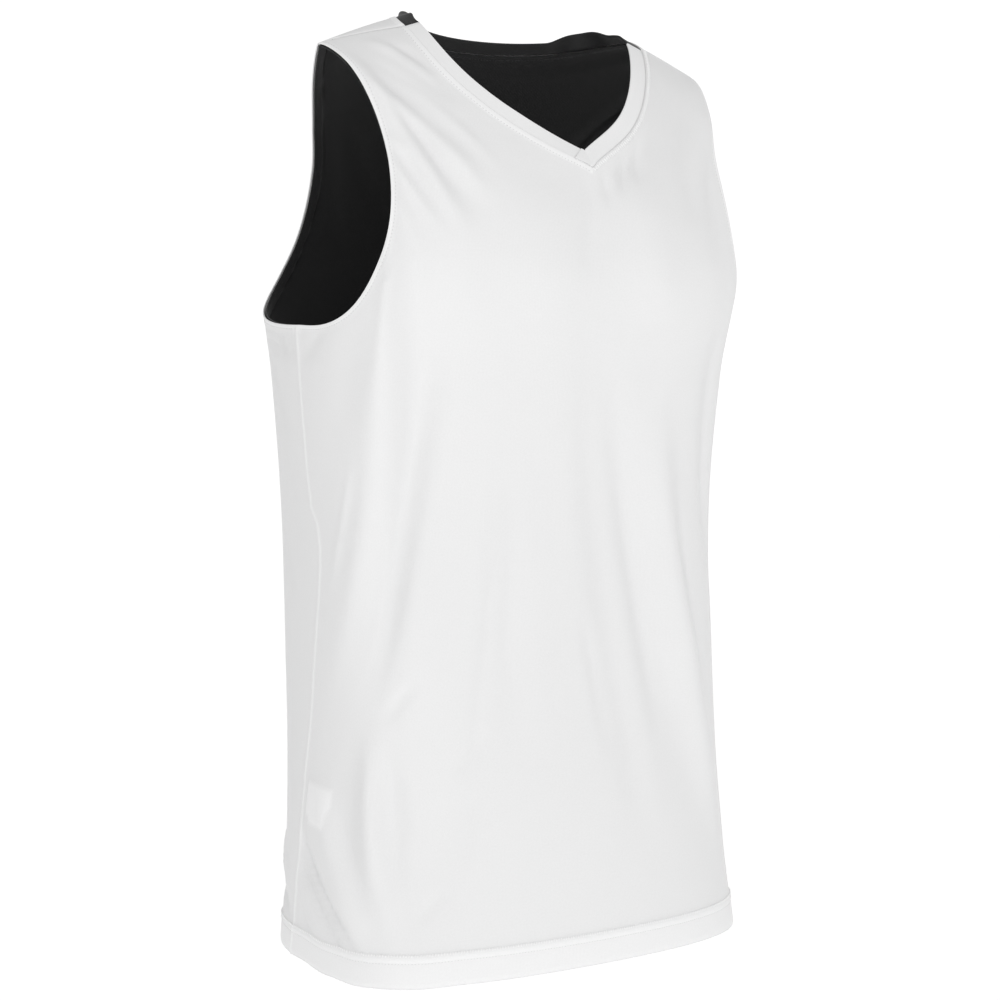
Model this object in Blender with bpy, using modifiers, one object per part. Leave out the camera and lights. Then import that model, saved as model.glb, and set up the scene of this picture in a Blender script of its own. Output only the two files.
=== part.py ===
"""Basketball jersey: sleeveless, V-necked and reversible, standing filled out as when worn.

Blender 4.5, metres, +Z up.  The front faces -Y and the wearer's left is +X.  The origin lies on
the line of the shoulders, midway between them, where the wearer carries the jersey.

Two plies of thin knit hang from the shoulders, white outside and black inside.  Each ply is a
front and a back, sewn at the sides and shoulders, and a neckband closes both plies at the neck.

Every piece is laid out in cloth coordinates.  `across` runs from 0 at the centre to -1 at the
wearer's right side seam and +1 at the left one.  `along` runs in millimetres from the front hem,
up the chest and over the shoulder ridge, then down the back to the back hem.
"""

import math

import bpy
import numpy as np

MM = 0.001

# ---------------------------------------------------------------------------------------------
# Driving dimensions, in millimetres unless a name says otherwise; heights are above the hem
# ---------------------------------------------------------------------------------------------
CHEST_LINE = 560.0          # height where the trunk ends and the cloth closes over the shoulders
OVER_SHOULDER = 298.0       # cloth from the chest line to the shoulder ridge
RIDGE = CHEST_LINE + OVER_SHOULDER      # the shoulder ridge in cloth coordinates
ROUND = 2.0 * RIDGE         # from the front hem over the shoulder to the back hem

NECK_POINT_X = 116.0        # neck seam on the ridge, from the centre
SHOULDER_TIP_X = 184.0      # armhole edge on the ridge, from the centre
NECK_POINT_HEIGHT = 752.0   # body length, from the hem to the ridge beside the neck
SHOULDER_SLOPE = math.radians(29.3)
SHOULDER_TILT = 0.018       # the ridge falls by this much a millimetre towards the wearer's left
SHOULDER_ROUNDING = 161.0   # radius over which the ridge levels out towards the neck
RIDGE_SPREAD = 1.02         # the ridge is this much wider than the chest below it
RIDGE_SETBACK = -13.0       # the ridge lies this far in front of the side seams
FRONT_FULLNESS = 1.6        # how square the profile is from the chest to the ridge
BACK_FULLNESS = 1.72        # and from the shoulder blades to the ridge, at the centre
BACK_FALL = 1.27            # the back loses fullness by this times across squared
BACK_FALL_END = 0.6         # no further than this far across
CARRY_HEIGHT = 738.0        # underside of the straps at the middle of the shoulders

# Level sections of the trunk
TRUNK_COLUMNS = ("height", "half_width", "front_depth", "back_depth", "squareness")
TRUNK = np.array([
    (0.0, 198.0, 130.0, 99.0, 0.058),
    (110.0, 196.0, 121.0, 104.0, 0.030),
    (230.0, 188.0, 107.0, 122.0, 0.046),
    (360.0, 186.0, 100.0, 136.0, 0.049),
    (470.0, 194.0, 107.0, 137.0, 0.051),
    (560.0, 199.0, 115.0, 133.0, 0.075),
])

# How far the hem hangs above its level on the wearer's right, where a buckle draws it up.
# Places run from 0 at the centre front over 1 at the side seam to 2 at the centre back.
HEM_LEVEL_COLUMNS = ("place", "rise")
HEM_LEVEL = np.array([
    (0.00, 0.0),
    (0.32, 0.0),
    (0.50, -1.8),
    (0.70, -2.3),
    (0.84, 0.3),
    (1.00, 5.5),
    (1.25, 7.5),
    (1.60, 3.0),
    (2.00, 0.0),
])
HEM_LEVEL_REACH = 130.0     # height over which that dies away

# Cut lines as Bezier control points: (across, along), with along counted up from the same hem
UNDERARM = 512.0
V_POINT = (0.032, 634.4)    # the V hangs a little towards the wearer's left
ARMHOLE_FRONT_RIGHT = ((1.0, UNDERARM), (0.840, UNDERARM), (0.227, 480.0))
ARMHOLE_FRONT_LEFT = ((1.0, UNDERARM), (0.840, UNDERARM), (0.260, 480.0))
ARMHOLE_BACK = ((1.0, UNDERARM), (0.082, UNDERARM), (0.306, 658.6))
NECK_FRONT_RIGHT = ((-0.025, 642.0), (0.272, 662.1))
NECK_FRONT_LEFT = ((0.142, 671.1), (0.198, 670.1))
NECK_BACK = ((0.0, 766.5), (0.197, 766.5), (0.327, 849.0))
SHOULDER_SEAM_AT_NECK = 822.0           # the shoulder seam starts in front of the ridge
SHOULDER_SEAM_AT_TIP = RIDGE            # and runs back to it at the armhole

PLY = 1.0                   # wall of one ply
HEM_DEPTH = 26.0            # the turned hem, which is thicker
HEM_PLY = 1.7
HEM_STEP = 3.0              # the hem thins out to one ply over this height
PLY_GAP = 0.7               # air between the plies
SEAM_GAP = 0.48             # air between pieces where they are sewn
LINING_LIFT = 4.0           # the lining's hem hangs this much higher

BAND_WIDTH = 14.3           # finished neckband
BAND_PLY = 2.4
# How far the neckband stands up from the cloth's own slope, in degrees.  Places run from 0 at
# the V to 1 at a shoulder seam and 2 at the centre back.
STAND_COLUMNS = ("place", "stand")
BAND_STAND = np.array([
    (0.00, -20.0),
    (0.30, -7.0),
    (0.65, -5.0),
    (1.28, 0.0),
    (1.50, 52.0),
    (1.70, -4.0),
    (2.00, -5.0),
])
LAP_PAST_V = 2.4            # the left leg laps over the right one, this far past the inner V
LAP_PLY = 1.2
LAP_GAP = 0.75
LAP_RISE = 12.0             # the left leg rises onto the right one over this length

# Folds: (low end), (high end) in cloth coordinates; bow bends the run sideways in its middle;
# a ridge has a positive depth and a trough a negative one
FOLD_COLUMNS = ("along_low", "across_low", "along_high", "across_high", "bow", "width", "depth")
FRONT_FOLDS = np.array([
    (175.0, -0.450, 555.0, -0.555, -0.020, 26.0, 4.0),  # broad ridge where the front turns
    (200.0, -0.855, 595.0, -0.500, 0.045, 17.5, 4.2),   # ridge and hollow at its side
    (360.0, -0.750, 610.0, -0.515, 0.030, 22.0, 3.3),
    (200.0, -0.855, 460.0, -0.695, -0.030, 22.5, 1.5),
    (255.0, -0.650, 710.0, -0.440, 0.090, 19.0, -6.6),  # long troughs inside it
    (220.0, -0.570, 600.0, -0.255, -0.056, 17.5, -5.4),
    (193.0, -0.700, 525.0, -0.325, 0.007, 15.0, -3.9),
    (20.0, -0.690, 215.0, -0.635, 0.000, 18.5, 4.2),    # buckles above the right end of the hem
    (20.0, -0.650, 166.0, -0.915, -0.057, 23.0, 3.2),
    (20.0, -0.480, 360.0, -0.065, -0.025, 22.5, -2.6),  # down the middle
    (130.0, -0.200, 490.0, 0.040, -0.070, 22.0, -2.4),
    (50.0, 0.175, 560.0, -0.015, 0.000, 14.0, -4.2),    # left half: trough, ridge, trough
    (28.0, 0.370, 620.0, 0.040, 0.064, 26.0, -3.6),
    (127.0, 0.275, 552.0, 0.027, 0.015, 15.7, -5.4),
    (38.0, 0.570, 485.0, 0.185, -0.030, 18.0, 5.6),
    (121.0, 0.395, 468.0, 0.227, -0.025, 15.6, 3.6),
    (48.0, 0.700, 346.0, 0.274, -0.080, 25.0, 2.1),
    (272.0, 0.670, 555.0, 0.530, -0.090, 17.3, -5.0),
    (585.0, -0.260, 720.0, -0.465, 0.000, 12.0, -2.6),  # drag lines from the right strap
    (640.0, -0.300, 770.0, -0.450, 0.000, 12.0, -2.4),
    (690.0, -0.240, 810.0, -0.390, 0.000, 11.0, -2.0),
])
BACK_FOLDS = np.array([
    (120.0, -0.62, 520.0, -0.45, 0.020, 20.0, 3.6),
    (110.0, -0.45, 470.0, -0.34, 0.010, 18.0, -3.4),
    (90.0, -0.16, 560.0, -0.10, 0.010, 26.0, 3.2),
    (100.0, 0.08, 420.0, 0.12, -0.010, 20.0, -3.4),
    (130.0, 0.34, 500.0, 0.26, 0.020, 22.0, 3.8),
    (110.0, 0.52, 440.0, 0.40, 0.010, 17.0, -3.4),
    (90.0, 0.70, 330.0, 0.62, 0.000, 17.0, 3.0),
    (560.0, 0.20, 700.0, 0.36, 0.000, 13.0, -2.2),
    (560.0, -0.22, 700.0, -0.37, 0.000, 13.0, -2.2),
])
ACROSS_MM = 300.0           # cloth from the centre to a side seam, for measuring folds
FOLD_FADE = 0.35            # share of a fold over which each end dies away
SIDE_CALM = 0.06            # folds die away this near to a side seam

# Mesh density
COLUMNS = 15                # from the centre to the side seam or armhole
TRUNK_ROWS = 12             # above the hem turning, up to the underarm
TRUNK_TOP = 400.0           # the row that ends at the underarm sags to this at the centre
FRONT_BREAST_ROWS = 6       # from there to the V
BACK_BREAST_ROWS = 10       # and to the neck seam at the centre back
NECK_ROWS = 10              # along each quarter of the neck seam, panels and neckband alike
NECK_FINE = 16 * NECK_ROWS  # places along each quarter where the neckband is worked out
ARMHOLE_SHARE_FRONT = 0.27  # share of the armhole's length that belongs to the breast rows
ARMHOLE_SHARE_BACK = 0.76
BAND_COLUMNS = 3
LAP_STEPS = 3

WHITE_KNIT = ("white_knit", (0.80, 0.80, 0.81, 1.0), 0.62)
BLACK_KNIT = ("black_knit", (0.012, 0.012, 0.014, 1.0), 0.70)
WHITE_BAND = ("white_band", (0.86, 0.86, 0.87, 1.0), 0.58)
BLACK_BAND = ("black_band", (0.020, 0.020, 0.023, 1.0), 0.66)


# ---------------------------------------------------------------------------------------------
# The shape of the filled-out jersey
# ---------------------------------------------------------------------------------------------
def smooth(share):
    """Ease from 0 to 1."""
    share = np.clip(share, 0.0, 1.0)
    return share * share * (3.0 - 2.0 * share)


def eased(table, place):
    """The second column of a table at any place in its first, eased from row to row."""
    row = np.clip(np.searchsorted(table[:, 0], place, side="right") - 1, 0, len(table) - 2)
    low, high = table[row], table[row + 1]
    share = smooth((place - low[..., 0]) / (high[..., 0] - low[..., 0]))
    return low[..., 1] * (1.0 - share) + high[..., 1] * share


def trunk_value(name, height):
    """One column of the trunk table at any height, along a smooth curve through its rows."""
    rows = TRUNK[:, 0]
    values = TRUNK[:, TRUNK_COLUMNS.index(name)]
    slopes = np.zeros_like(values)
    slopes[0] = (values[1] - values[0]) / (rows[1] - rows[0])
    slopes[1:-1] = (values[2:] - values[:-2]) / (rows[2:] - rows[:-2])
    height = np.clip(height, rows[0], rows[-1])
    row = np.clip(np.searchsorted(rows, height, side="right") - 1, 0, len(rows) - 2)
    step = rows[row + 1] - rows[row]
    t = (height - rows[row]) / step
    ease = t * t * (3.0 - 2.0 * t)
    rise = step * (slopes[row] * t * (1.0 - t) ** 2 - slopes[row + 1] * t * t * (1.0 - t))
    return values[row] * (1.0 - ease) + values[row + 1] * ease + rise


def ridge_height(x):
    """Height of the shoulder ridge, falling away from the neck point to the armhole."""
    fall = np.hypot(x, SHOULDER_ROUNDING) - math.hypot(NECK_POINT_X, SHOULDER_ROUNDING)
    return NECK_POINT_HEIGHT - math.tan(SHOULDER_SLOPE) * fall - SHOULDER_TILT * x


def body_point(across, along):
    """A point of the smooth jersey, in millimetres from the hem's level and the side seams."""
    across, along = np.broadcast_arrays(np.asarray(across, float), np.asarray(along, float))
    at_back = along > RIDGE
    up = np.where(at_back, ROUND - along, along)
    height = np.minimum(up, CHEST_LINE)
    width = trunk_value("half_width", height)
    front = trunk_value("front_depth", height)
    back = trunk_value("back_depth", height)
    square = trunk_value("squareness", height)
    angle = across * math.pi / 2.0
    x = width * (np.sin(angle) + square * np.sin(3.0 * angle)) / (1.0 - square)
    depth = np.where(at_back, back, -front)
    y = depth * (np.cos(angle) - square * np.cos(3.0 * angle)) / (1.0 - square)
    climb = np.clip((up - CHEST_LINE) / OVER_SHOULDER, 0.0, 1.0) * math.pi / 2.0
    fall = BACK_FALL * np.minimum(np.abs(across), BACK_FALL_END) ** 2
    full = np.where(at_back, BACK_FULLNESS - fall, FRONT_FULLNESS)
    level, rise = np.maximum(np.cos(climb), 0.0), np.sin(climb)
    reach = (level ** full + rise ** full) ** (-1.0 / full)
    level, rise = level * reach, rise * reach
    ridge_x = x * RIDGE_SPREAD
    x = ridge_x + (x - ridge_x) * level
    y = RIDGE_SETBACK + (y - RIDGE_SETBACK) * level
    z = height + (ridge_height(ridge_x) - CHEST_LINE) * rise
    place = np.where(at_back, 2.0 - np.abs(across), np.abs(across))
    drawn = np.where(across < 0.0, eased(HEM_LEVEL, place), 0.0)
    z = z + drawn * (1.0 - smooth(up / HEM_LEVEL_REACH))
    return np.stack([x, y, z], axis=-1)


def outward_normal(surface, across, along):
    """The outward unit normal of a surface given by a function of the cloth coordinates."""
    small_across, small_along = 0.002, 0.5
    to_side = surface(across + small_across, along) - surface(across - small_across, along)
    onward = surface(across, along + small_along) - surface(across, along - small_along)
    normal = np.cross(to_side, onward)
    return normal / np.linalg.norm(normal, axis=-1, keepdims=True)


def fold_depth(across, along):
    """How far the folds push the cloth out of the smooth jersey."""
    at_back = along > RIDGE
    up = np.where(at_back, ROUND - along, along)
    total = np.zeros(np.broadcast(across, along).shape)
    for table, here in ((FRONT_FOLDS, ~at_back), (BACK_FOLDS, at_back)):
        for low, across_low, high, across_high, bow, width, depth in table:
            t = (up - low) / (high - low)
            run = across_low + (across_high - across_low) * t + 4.0 * bow * t * (1.0 - t)
            lean = ACROSS_MM * (across_high - across_low) / (high - low)
            aside = ACROSS_MM * (across - run) / math.hypot(1.0, lean)
            fade = smooth(t / FOLD_FADE) * smooth((1.0 - t) / FOLD_FADE)
            total += np.where(here, depth * fade * np.exp(-(aside / width) ** 2), 0.0)
    return total * smooth((1.0 - np.abs(across)) / SIDE_CALM)


def cloth_point(across, along, out=0.0):
    """A point of the folded jersey, `out` millimetres outside the white ply's inner face."""
    across, along = np.broadcast_arrays(np.asarray(across, float), np.asarray(along, float))
    normal = outward_normal(body_point, across, along)
    return body_point(across, along) + normal * (fold_depth(across, along) + out)[..., None]


def to_world(point):
    """Metres from the origin on the shoulder line."""
    return (point - np.array([0.0, RIDGE_SETBACK, CARRY_HEIGHT])) * MM


# ---------------------------------------------------------------------------------------------
# Cut lines
# ---------------------------------------------------------------------------------------------
def curve(controls, share):
    """Points of a cubic Bezier curve through cloth coordinates, at shares of its length."""
    a, b, c, d = (np.array(control, float) for control in controls)
    t = np.linspace(0.0, 1.0, 601)[:, None]
    s = 1.0 - t
    points = a * s ** 3 + 3.0 * b * s * s * t + 3.0 * c * s * t * t + d * t ** 3
    steps = np.diff(points, axis=0) * np.array([ACROSS_MM, 1.0])
    run = np.concatenate([[0.0], np.cumsum(np.hypot(steps[:, 0], steps[:, 1]))])
    return np.stack([np.interp(share, run / run[-1], points[:, k]) for k in (0, 1)], axis=-1)


def across_at_ridge(x):
    """The across coordinate of the ridge point at distance x from the centre."""
    steps = np.linspace(0.0, 1.0, 401)
    return float(np.interp(x, body_point(steps, RIDGE)[:, 0], steps))


NECK_ACROSS = across_at_ridge(NECK_POINT_X)
TIP_ACROSS = across_at_ridge(SHOULDER_TIP_X)
SHOULDER_AT_NECK = (NECK_ACROSS, SHOULDER_SEAM_AT_NECK)
SHOULDER_AT_TIP = (TIP_ACROSS, SHOULDER_SEAM_AT_TIP)


def sided(controls, side):
    """Control points of the wearer's left, or mirrored to the right."""
    return [(side * across, along) for across, along in controls]


def from_back(controls):
    """Control points counted up from the back hem, as places on the full run of cloth."""
    return [(across, ROUND - up) for across, up in controls]


def armhole(side, at_back, share):
    """The armhole's edge from the underarm to the shoulder tip."""
    front = ARMHOLE_FRONT_LEFT if side > 0 else ARMHOLE_FRONT_RIGHT
    cut = from_back(ARMHOLE_BACK) if at_back else list(front)
    return curve(sided(cut + [SHOULDER_AT_TIP], side), share)


def neck_seam_front(side, share):
    """The neck seam from the V to the shoulder seam."""
    cut = NECK_FRONT_LEFT if side > 0 else NECK_FRONT_RIGHT
    return curve([V_POINT] + sided(list(cut) + [SHOULDER_AT_NECK], side), share)


def neck_seam_back(side, share):
    """The neck seam from the centre back to the shoulder seam."""
    return curve(sided(from_back(NECK_BACK) + [SHOULDER_AT_NECK], side), share)


def centre_front(along):
    """The line down the middle of the front, which drifts to the V."""
    return np.stack([V_POINT[0] * smooth(along / V_POINT[1]), along], axis=-1)


# ---------------------------------------------------------------------------------------------
# Panels
# ---------------------------------------------------------------------------------------------
def panel_edges(side, at_back, hem_lift):
    """Inner and outer ends of a half panel's rows, from the hem up to the shoulder seam."""
    hem_top = HEM_DEPTH + HEM_STEP
    turning = [hem_lift, HEM_DEPTH, hem_top]
    trunk = np.concatenate([turning, np.linspace(hem_top, UNDERARM, TRUNK_ROWS + 1)[1:]])
    middle = np.concatenate([turning, np.linspace(hem_top, TRUNK_TOP, TRUNK_ROWS + 1)[1:]])
    breast_rows = BACK_BREAST_ROWS if at_back else FRONT_BREAST_ROWS
    share = ARMHOLE_SHARE_BACK if at_back else ARMHOLE_SHARE_FRONT
    top = NECK_BACK[0][1] if at_back else V_POINT[1]
    breast = np.linspace(TRUNK_TOP, top, breast_rows + 1)[1:]
    strap = np.linspace(0.0, 1.0, NECK_ROWS + 1)[1:]
    ups = np.concatenate([middle, breast])
    if at_back:
        inner = np.stack([np.zeros_like(ups), ROUND - ups], axis=-1)
        inner = np.concatenate([inner, neck_seam_back(side, strap)])
        side_seam = np.stack([np.full_like(trunk, side), ROUND - trunk], axis=-1)
    else:
        inner = np.concatenate([centre_front(ups), neck_seam_front(side, strap)])
        side_seam = np.stack([np.full_like(trunk, side), trunk], axis=-1)
    climb = np.concatenate([np.linspace(0.0, share, breast_rows + 1)[1:],
                            np.linspace(share, 1.0, NECK_ROWS + 1)[1:]])
    outer = np.concatenate([side_seam, armhole(side, at_back, climb)])
    seam_share = 0.5 * SEAM_GAP / ACROSS_MM / 0.65
    outer[:len(trunk), 0] *= 1.0 - seam_share
    if at_back:
        for edge in (inner, outer):
            edge[-1, 1] += 2.0 * SEAM_GAP
    return inner, outer


def half_panel(side, at_back, hem_lift=0.0):
    """Cloth coordinates of a half panel: rows from the hem up, columns from the centre out."""
    inner, outer = panel_edges(side, at_back, hem_lift)
    share = np.linspace(0.0, 1.0, COLUMNS + 1)[None, :, None]
    return inner[:, None] * (1.0 - share) + outer[:, None] * share


def new_object(name, vertices, faces, finish, collection):
    """A mesh object from points in millimetres, welded along shared lines and shaded smooth."""
    mesh = bpy.data.meshes.new(name)
    mesh.from_pydata([tuple(p) for p in to_world(np.asarray(vertices))], [], faces)
    mesh.update()
    mesh.shade_smooth()
    mesh.materials.append(material(*finish))
    obj = bpy.data.objects.new(name, mesh)
    collection.objects.link(obj)
    return obj


def thicken(obj, wall, offset, weights=None, thin_share=1.0):
    """Give an open sheet its wall; the weights say where it has the full thickness."""
    solid = obj.modifiers.new("wall", "SOLIDIFY")
    solid.thickness = wall * MM
    solid.offset = offset
    solid.use_even_offset = True
    if weights is not None:
        group = obj.vertex_groups.new(name="full_wall")
        for index, weight in enumerate(weights):
            group.add([index], float(weight), "REPLACE")
        solid.vertex_group = group.name
        solid.thickness_vertex_group = thin_share
    return obj


def panel(name, at_back, out, finish, collection, hem_lift=0.0, hem_ply=PLY):
    """A front or back: two half panels that share the centre line below the neck."""
    centre_rows = 3 + TRUNK_ROWS + (BACK_BREAST_ROWS if at_back else FRONT_BREAST_ROWS)
    halves = {side: half_panel(side, at_back, hem_lift) for side in (-1, 1)}
    points, places = [], {}
    for side, grid in halves.items():
        for row in range(grid.shape[0]):
            for column in range(grid.shape[1]):
                shared = column == 0 and row < centre_rows
                key = (row,) if shared else (side, row, column)
                if key not in places:
                    places[key] = len(points)
                    points.append(grid[row, column])
                places[(side, row, column)] = places[key]
    faces = []
    for side, grid in halves.items():
        outward = (side > 0) != at_back
        for row in range(grid.shape[0] - 1):
            for column in range(grid.shape[1] - 1):
                corners = [(row, column), (row, column + 1), (row + 1, column + 1), (row + 1, column)]
                if not outward:
                    corners.reverse()
                faces.append([places[(side, *corner)] for corner in corners])
    points = np.array(points)
    vertices = cloth_point(points[:, 0], points[:, 1], out)
    obj = new_object(name, vertices, faces, finish, collection)
    if hem_ply == PLY:
        return thicken(obj, PLY, 1.0)
    up = np.minimum(points[:, 1], ROUND - points[:, 1])
    return thicken(obj, hem_ply, 1.0, up <= HEM_DEPTH, PLY / hem_ply)


# ---------------------------------------------------------------------------------------------
# Neckband
# ---------------------------------------------------------------------------------------------
def neckline():
    """The neck seam all round, from the V over the left shoulder and the right one to the V."""
    share = np.linspace(0.0, 1.0, NECK_FINE + 1)
    quarters = [neck_seam_front(1, share), neck_seam_back(1, share)[::-1],
                neck_seam_back(-1, share), neck_seam_front(-1, share)[::-1]]
    return np.concatenate([quarters[0]] + [quarter[1:] for quarter in quarters[1:]])


def band_rails(out):
    """Lines along the neckband from its base to its edge, all round the neck.

    `out` is how far the middle of the band's wall lies from the white ply's inner face.
    """
    seam = neckline()
    base = cloth_point(seam[:, 0], seam[:, 1])
    normal = outward_normal(body_point, seam[:, 0], seam[:, 1])
    run = np.gradient(base, axis=0)
    inward = np.cross(normal, run)
    inward /= np.linalg.norm(inward, axis=1, keepdims=True)
    quarter = np.arange(len(seam)) / NECK_FINE
    stand = np.radians(eased(BAND_STAND, np.minimum(quarter, 4.0 - quarter)))
    rise = inward * np.cos(stand)[:, None] + normal * np.sin(stand)[:, None]
    start = (SEAM_GAP + 0.5 * BAND_PLY * np.abs(np.sin(stand))) / np.cos(stand)
    share = np.linspace(0.0, 1.0, BAND_COLUMNS)
    reach = start[:, None] * (1.0 - share) + BAND_WIDTH * share
    return (base + normal * out)[:, None] + rise[:, None] * reach[..., None]


def places_along(rail, places):
    """Points of a finely divided rail at places counted in its divisions."""
    divisions = np.arange(len(rail))
    return np.stack([np.interp(places, divisions, rail[:, k]) for k in range(3)], axis=-1)


def crossing(rail, plane, side):
    """The place where a rail leaves the V's upright plane towards one side."""
    beyond = side * (rail[:, 0] - plane)
    first = int(np.argmax(beyond >= 0.0))
    if first == 0:
        return 0.0
    return first - beyond[first] / (beyond[first] - beyond[first - 1])


def mitred(rails, plane, side, last=NECK_FINE, steps=NECK_ROWS):
    """Sections of a front leg from the V's plane to a place along it, which is the shoulder."""
    sections = []
    for column in range(rails.shape[1]):
        rail = rails[:NECK_FINE + 1, column]
        first = crossing(rail, plane, side)
        sections.append(places_along(rail, np.linspace(first, last, steps + 1)))
    return np.stack(sections, axis=1)


def band_object(name, sections, finish, collection, weights=None, thin_share=1.0):
    """A neckband piece from its cross-sections, with the wall set evenly about their middle."""
    count, columns = sections.shape[:2]
    faces = []
    for row in range(count - 1):
        for column in range(columns - 1):
            first = row * columns + column
            faces.append([first, first + 1, first + columns + 1, first + columns])
    middle = sections[count // 2]
    along = sections[count // 2 + 1, 0] - middle[0]
    facing = np.cross(middle[-1] - middle[0], along)
    outward = middle.mean(axis=0) - np.array([0.0, RIDGE_SETBACK, 0.8 * CHEST_LINE])
    if np.dot(facing, outward) < 0.0:
        faces = [face[::-1] for face in faces]
    obj = new_object(name, sections.reshape(-1, 3), faces, finish, collection)
    return thicken(obj, BAND_PLY, 0.0, weights, thin_share)


def part_from_seam(sections, end, inner):
    """Draw one end of a neckband piece back from the shoulder seam."""
    step = sections[inner] - sections[end]
    sections[end] += step * (0.6 * SEAM_GAP / np.linalg.norm(step, axis=1, keepdims=True))


def front_legs(collection):
    """The two front legs; the left one bends at the V and laps over the end of the right one."""
    middle = -0.5 * PLY_GAP
    raised = middle + 0.5 * BAND_PLY + LAP_GAP + 0.5 * LAP_PLY
    rails = band_rails(middle)
    plane = rails[0, 0, 0]
    right = mitred(rails[::-1], plane - 2.0 * SEAM_GAP, -1)
    part_from_seam(right, -1, -2)
    band_object("collar_front_right", right, WHITE_BAND, collection)

    left = mitred(rails, plane, 1)
    part_from_seam(left, -1, -2)
    normal = outward_normal(body_point, *V_POINT)
    from_v = np.linalg.norm(left - left[0], axis=2)
    left += (raised - middle) * (1.0 - smooth(from_v / LAP_RISE))[..., None] * normal
    over = band_rails(raised)[::-1]
    inner = over[:NECK_FINE + 1, -1]
    division = np.linalg.norm(np.diff(inner, axis=0), axis=1).mean()
    lap_end = crossing(inner, plane, -1) + LAP_PAST_V / division
    lap = mitred(over, plane, -1, lap_end, LAP_STEPS)
    sections = np.concatenate([lap[:0:-1], left])
    full = np.arange(len(sections)) > LAP_STEPS
    band_object("collar_front_left", sections, WHITE_BAND, collection,
                np.repeat(full, BAND_COLUMNS), LAP_PLY / BAND_PLY)


def back_band(collection):
    """The neckband round the back, from one shoulder seam to the other."""
    rails = band_rails(-0.5 * PLY_GAP)
    sections = rails[NECK_FINE:3 * NECK_FINE + 1:NECK_FINE // NECK_ROWS].copy()
    part_from_seam(sections, 0, 1)
    part_from_seam(sections, -1, -2)
    band_object("collar_back", sections, BLACK_BAND, collection)


# ---------------------------------------------------------------------------------------------
# Scene
# ---------------------------------------------------------------------------------------------
def material(name, colour, roughness):
    """A Principled material, made once for each finish."""
    if name in bpy.data.materials:
        return bpy.data.materials[name]
    finish = bpy.data.materials.new(name)
    finish.use_nodes = True
    shader = finish.node_tree.nodes["Principled BSDF"]
    shader.inputs["Base Color"].default_value = colour
    shader.inputs["Roughness"].default_value = roughness
    shader.inputs["Metallic"].default_value = 0.0
    return finish


def build():
    """Clear the scene and make the jersey."""
    for obj in list(bpy.data.objects):
        bpy.data.objects.remove(obj, do_unlink=True)
    jersey = bpy.data.collections.new("basketball_jersey")
    bpy.context.scene.collection.children.link(jersey)
    panel("front", False, 0.0, WHITE_KNIT, jersey, hem_ply=HEM_PLY)
    panel("back", True, 0.0, WHITE_KNIT, jersey, hem_ply=HEM_PLY)
    panel("front_lining", False, -PLY_GAP - PLY, BLACK_KNIT, jersey, hem_lift=LINING_LIFT)
    panel("back_lining", True, -PLY_GAP - PLY, BLACK_KNIT, jersey, hem_lift=LINING_LIFT)
    front_legs(jersey)
    back_band(jersey)


build()
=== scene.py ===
# %% [markdown]
# # A basketball jersey, filled out as when worn
#
# The jersey is two plies of thin polyester knit, white outside and black inside, sewn together at
# the neck and armholes.  It hangs hollow in the air, as it would over a wearer's shoulders.  The
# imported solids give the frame; this file makes the cloth that shows, at a finer step, with its
# creases, turned edges, neckband, sewing and knit.

# %% The frame
import math

import bpy
import numpy as np
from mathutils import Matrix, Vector, kdtree


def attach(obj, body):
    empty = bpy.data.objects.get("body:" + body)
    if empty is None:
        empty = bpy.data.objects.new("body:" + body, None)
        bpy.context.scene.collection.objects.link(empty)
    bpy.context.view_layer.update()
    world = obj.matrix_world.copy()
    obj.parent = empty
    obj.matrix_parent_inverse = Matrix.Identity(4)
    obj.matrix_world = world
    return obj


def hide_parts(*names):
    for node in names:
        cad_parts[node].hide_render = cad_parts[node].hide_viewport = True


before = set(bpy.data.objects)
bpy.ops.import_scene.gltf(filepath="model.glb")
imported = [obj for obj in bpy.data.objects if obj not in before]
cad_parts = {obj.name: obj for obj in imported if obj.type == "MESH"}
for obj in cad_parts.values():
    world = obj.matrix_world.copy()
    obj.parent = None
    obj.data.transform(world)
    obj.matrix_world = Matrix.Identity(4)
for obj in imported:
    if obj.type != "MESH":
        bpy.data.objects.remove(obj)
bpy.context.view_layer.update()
MM = 0.001
print("nodes", sorted(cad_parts))

# %% [markdown]
# ## The shape of the worn jersey
#
# A garment pattern is flat, yet what shows is the form it takes when it is filled.  The simplest
# way to have both is one function that turns cloth coordinates into a point in space.  `across`
# runs from 0 at the centre to -1 at the wearer's right side seam and +1 at the left one.  `along`
# runs in millimetres from the front hem up over the shoulder ridge and down to the back hem.
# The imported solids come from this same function, so the finer cloth lies right on them.  The
# sizes of the trunk, the ridge, the cut lines and the neckband's stand are rounded results of a
# least-squares fit of the outline, made by a separate program.

# %% Sizes of the body of the jersey, in millimetres; heights are above the hem
CHEST_LINE = 560.0
OVER_SHOULDER = 298.0
RIDGE = CHEST_LINE + OVER_SHOULDER
ROUND = 2.0 * RIDGE
NECK_POINT_X = 116.0
SHOULDER_TIP_X = 184.0
NECK_POINT_HEIGHT = 752.0
SHOULDER_SLOPE = math.radians(29.3)
SHOULDER_TILT = 0.018
SHOULDER_ROUNDING = 161.0
RIDGE_SPREAD = 1.02
RIDGE_SETBACK = -13.0
FRONT_FULLNESS = 1.6
BACK_FULLNESS = 1.72
BACK_FALL = 1.27
BACK_FALL_END = 0.6
CARRY_HEIGHT = 738.0
ACROSS_MM = 300.0

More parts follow.
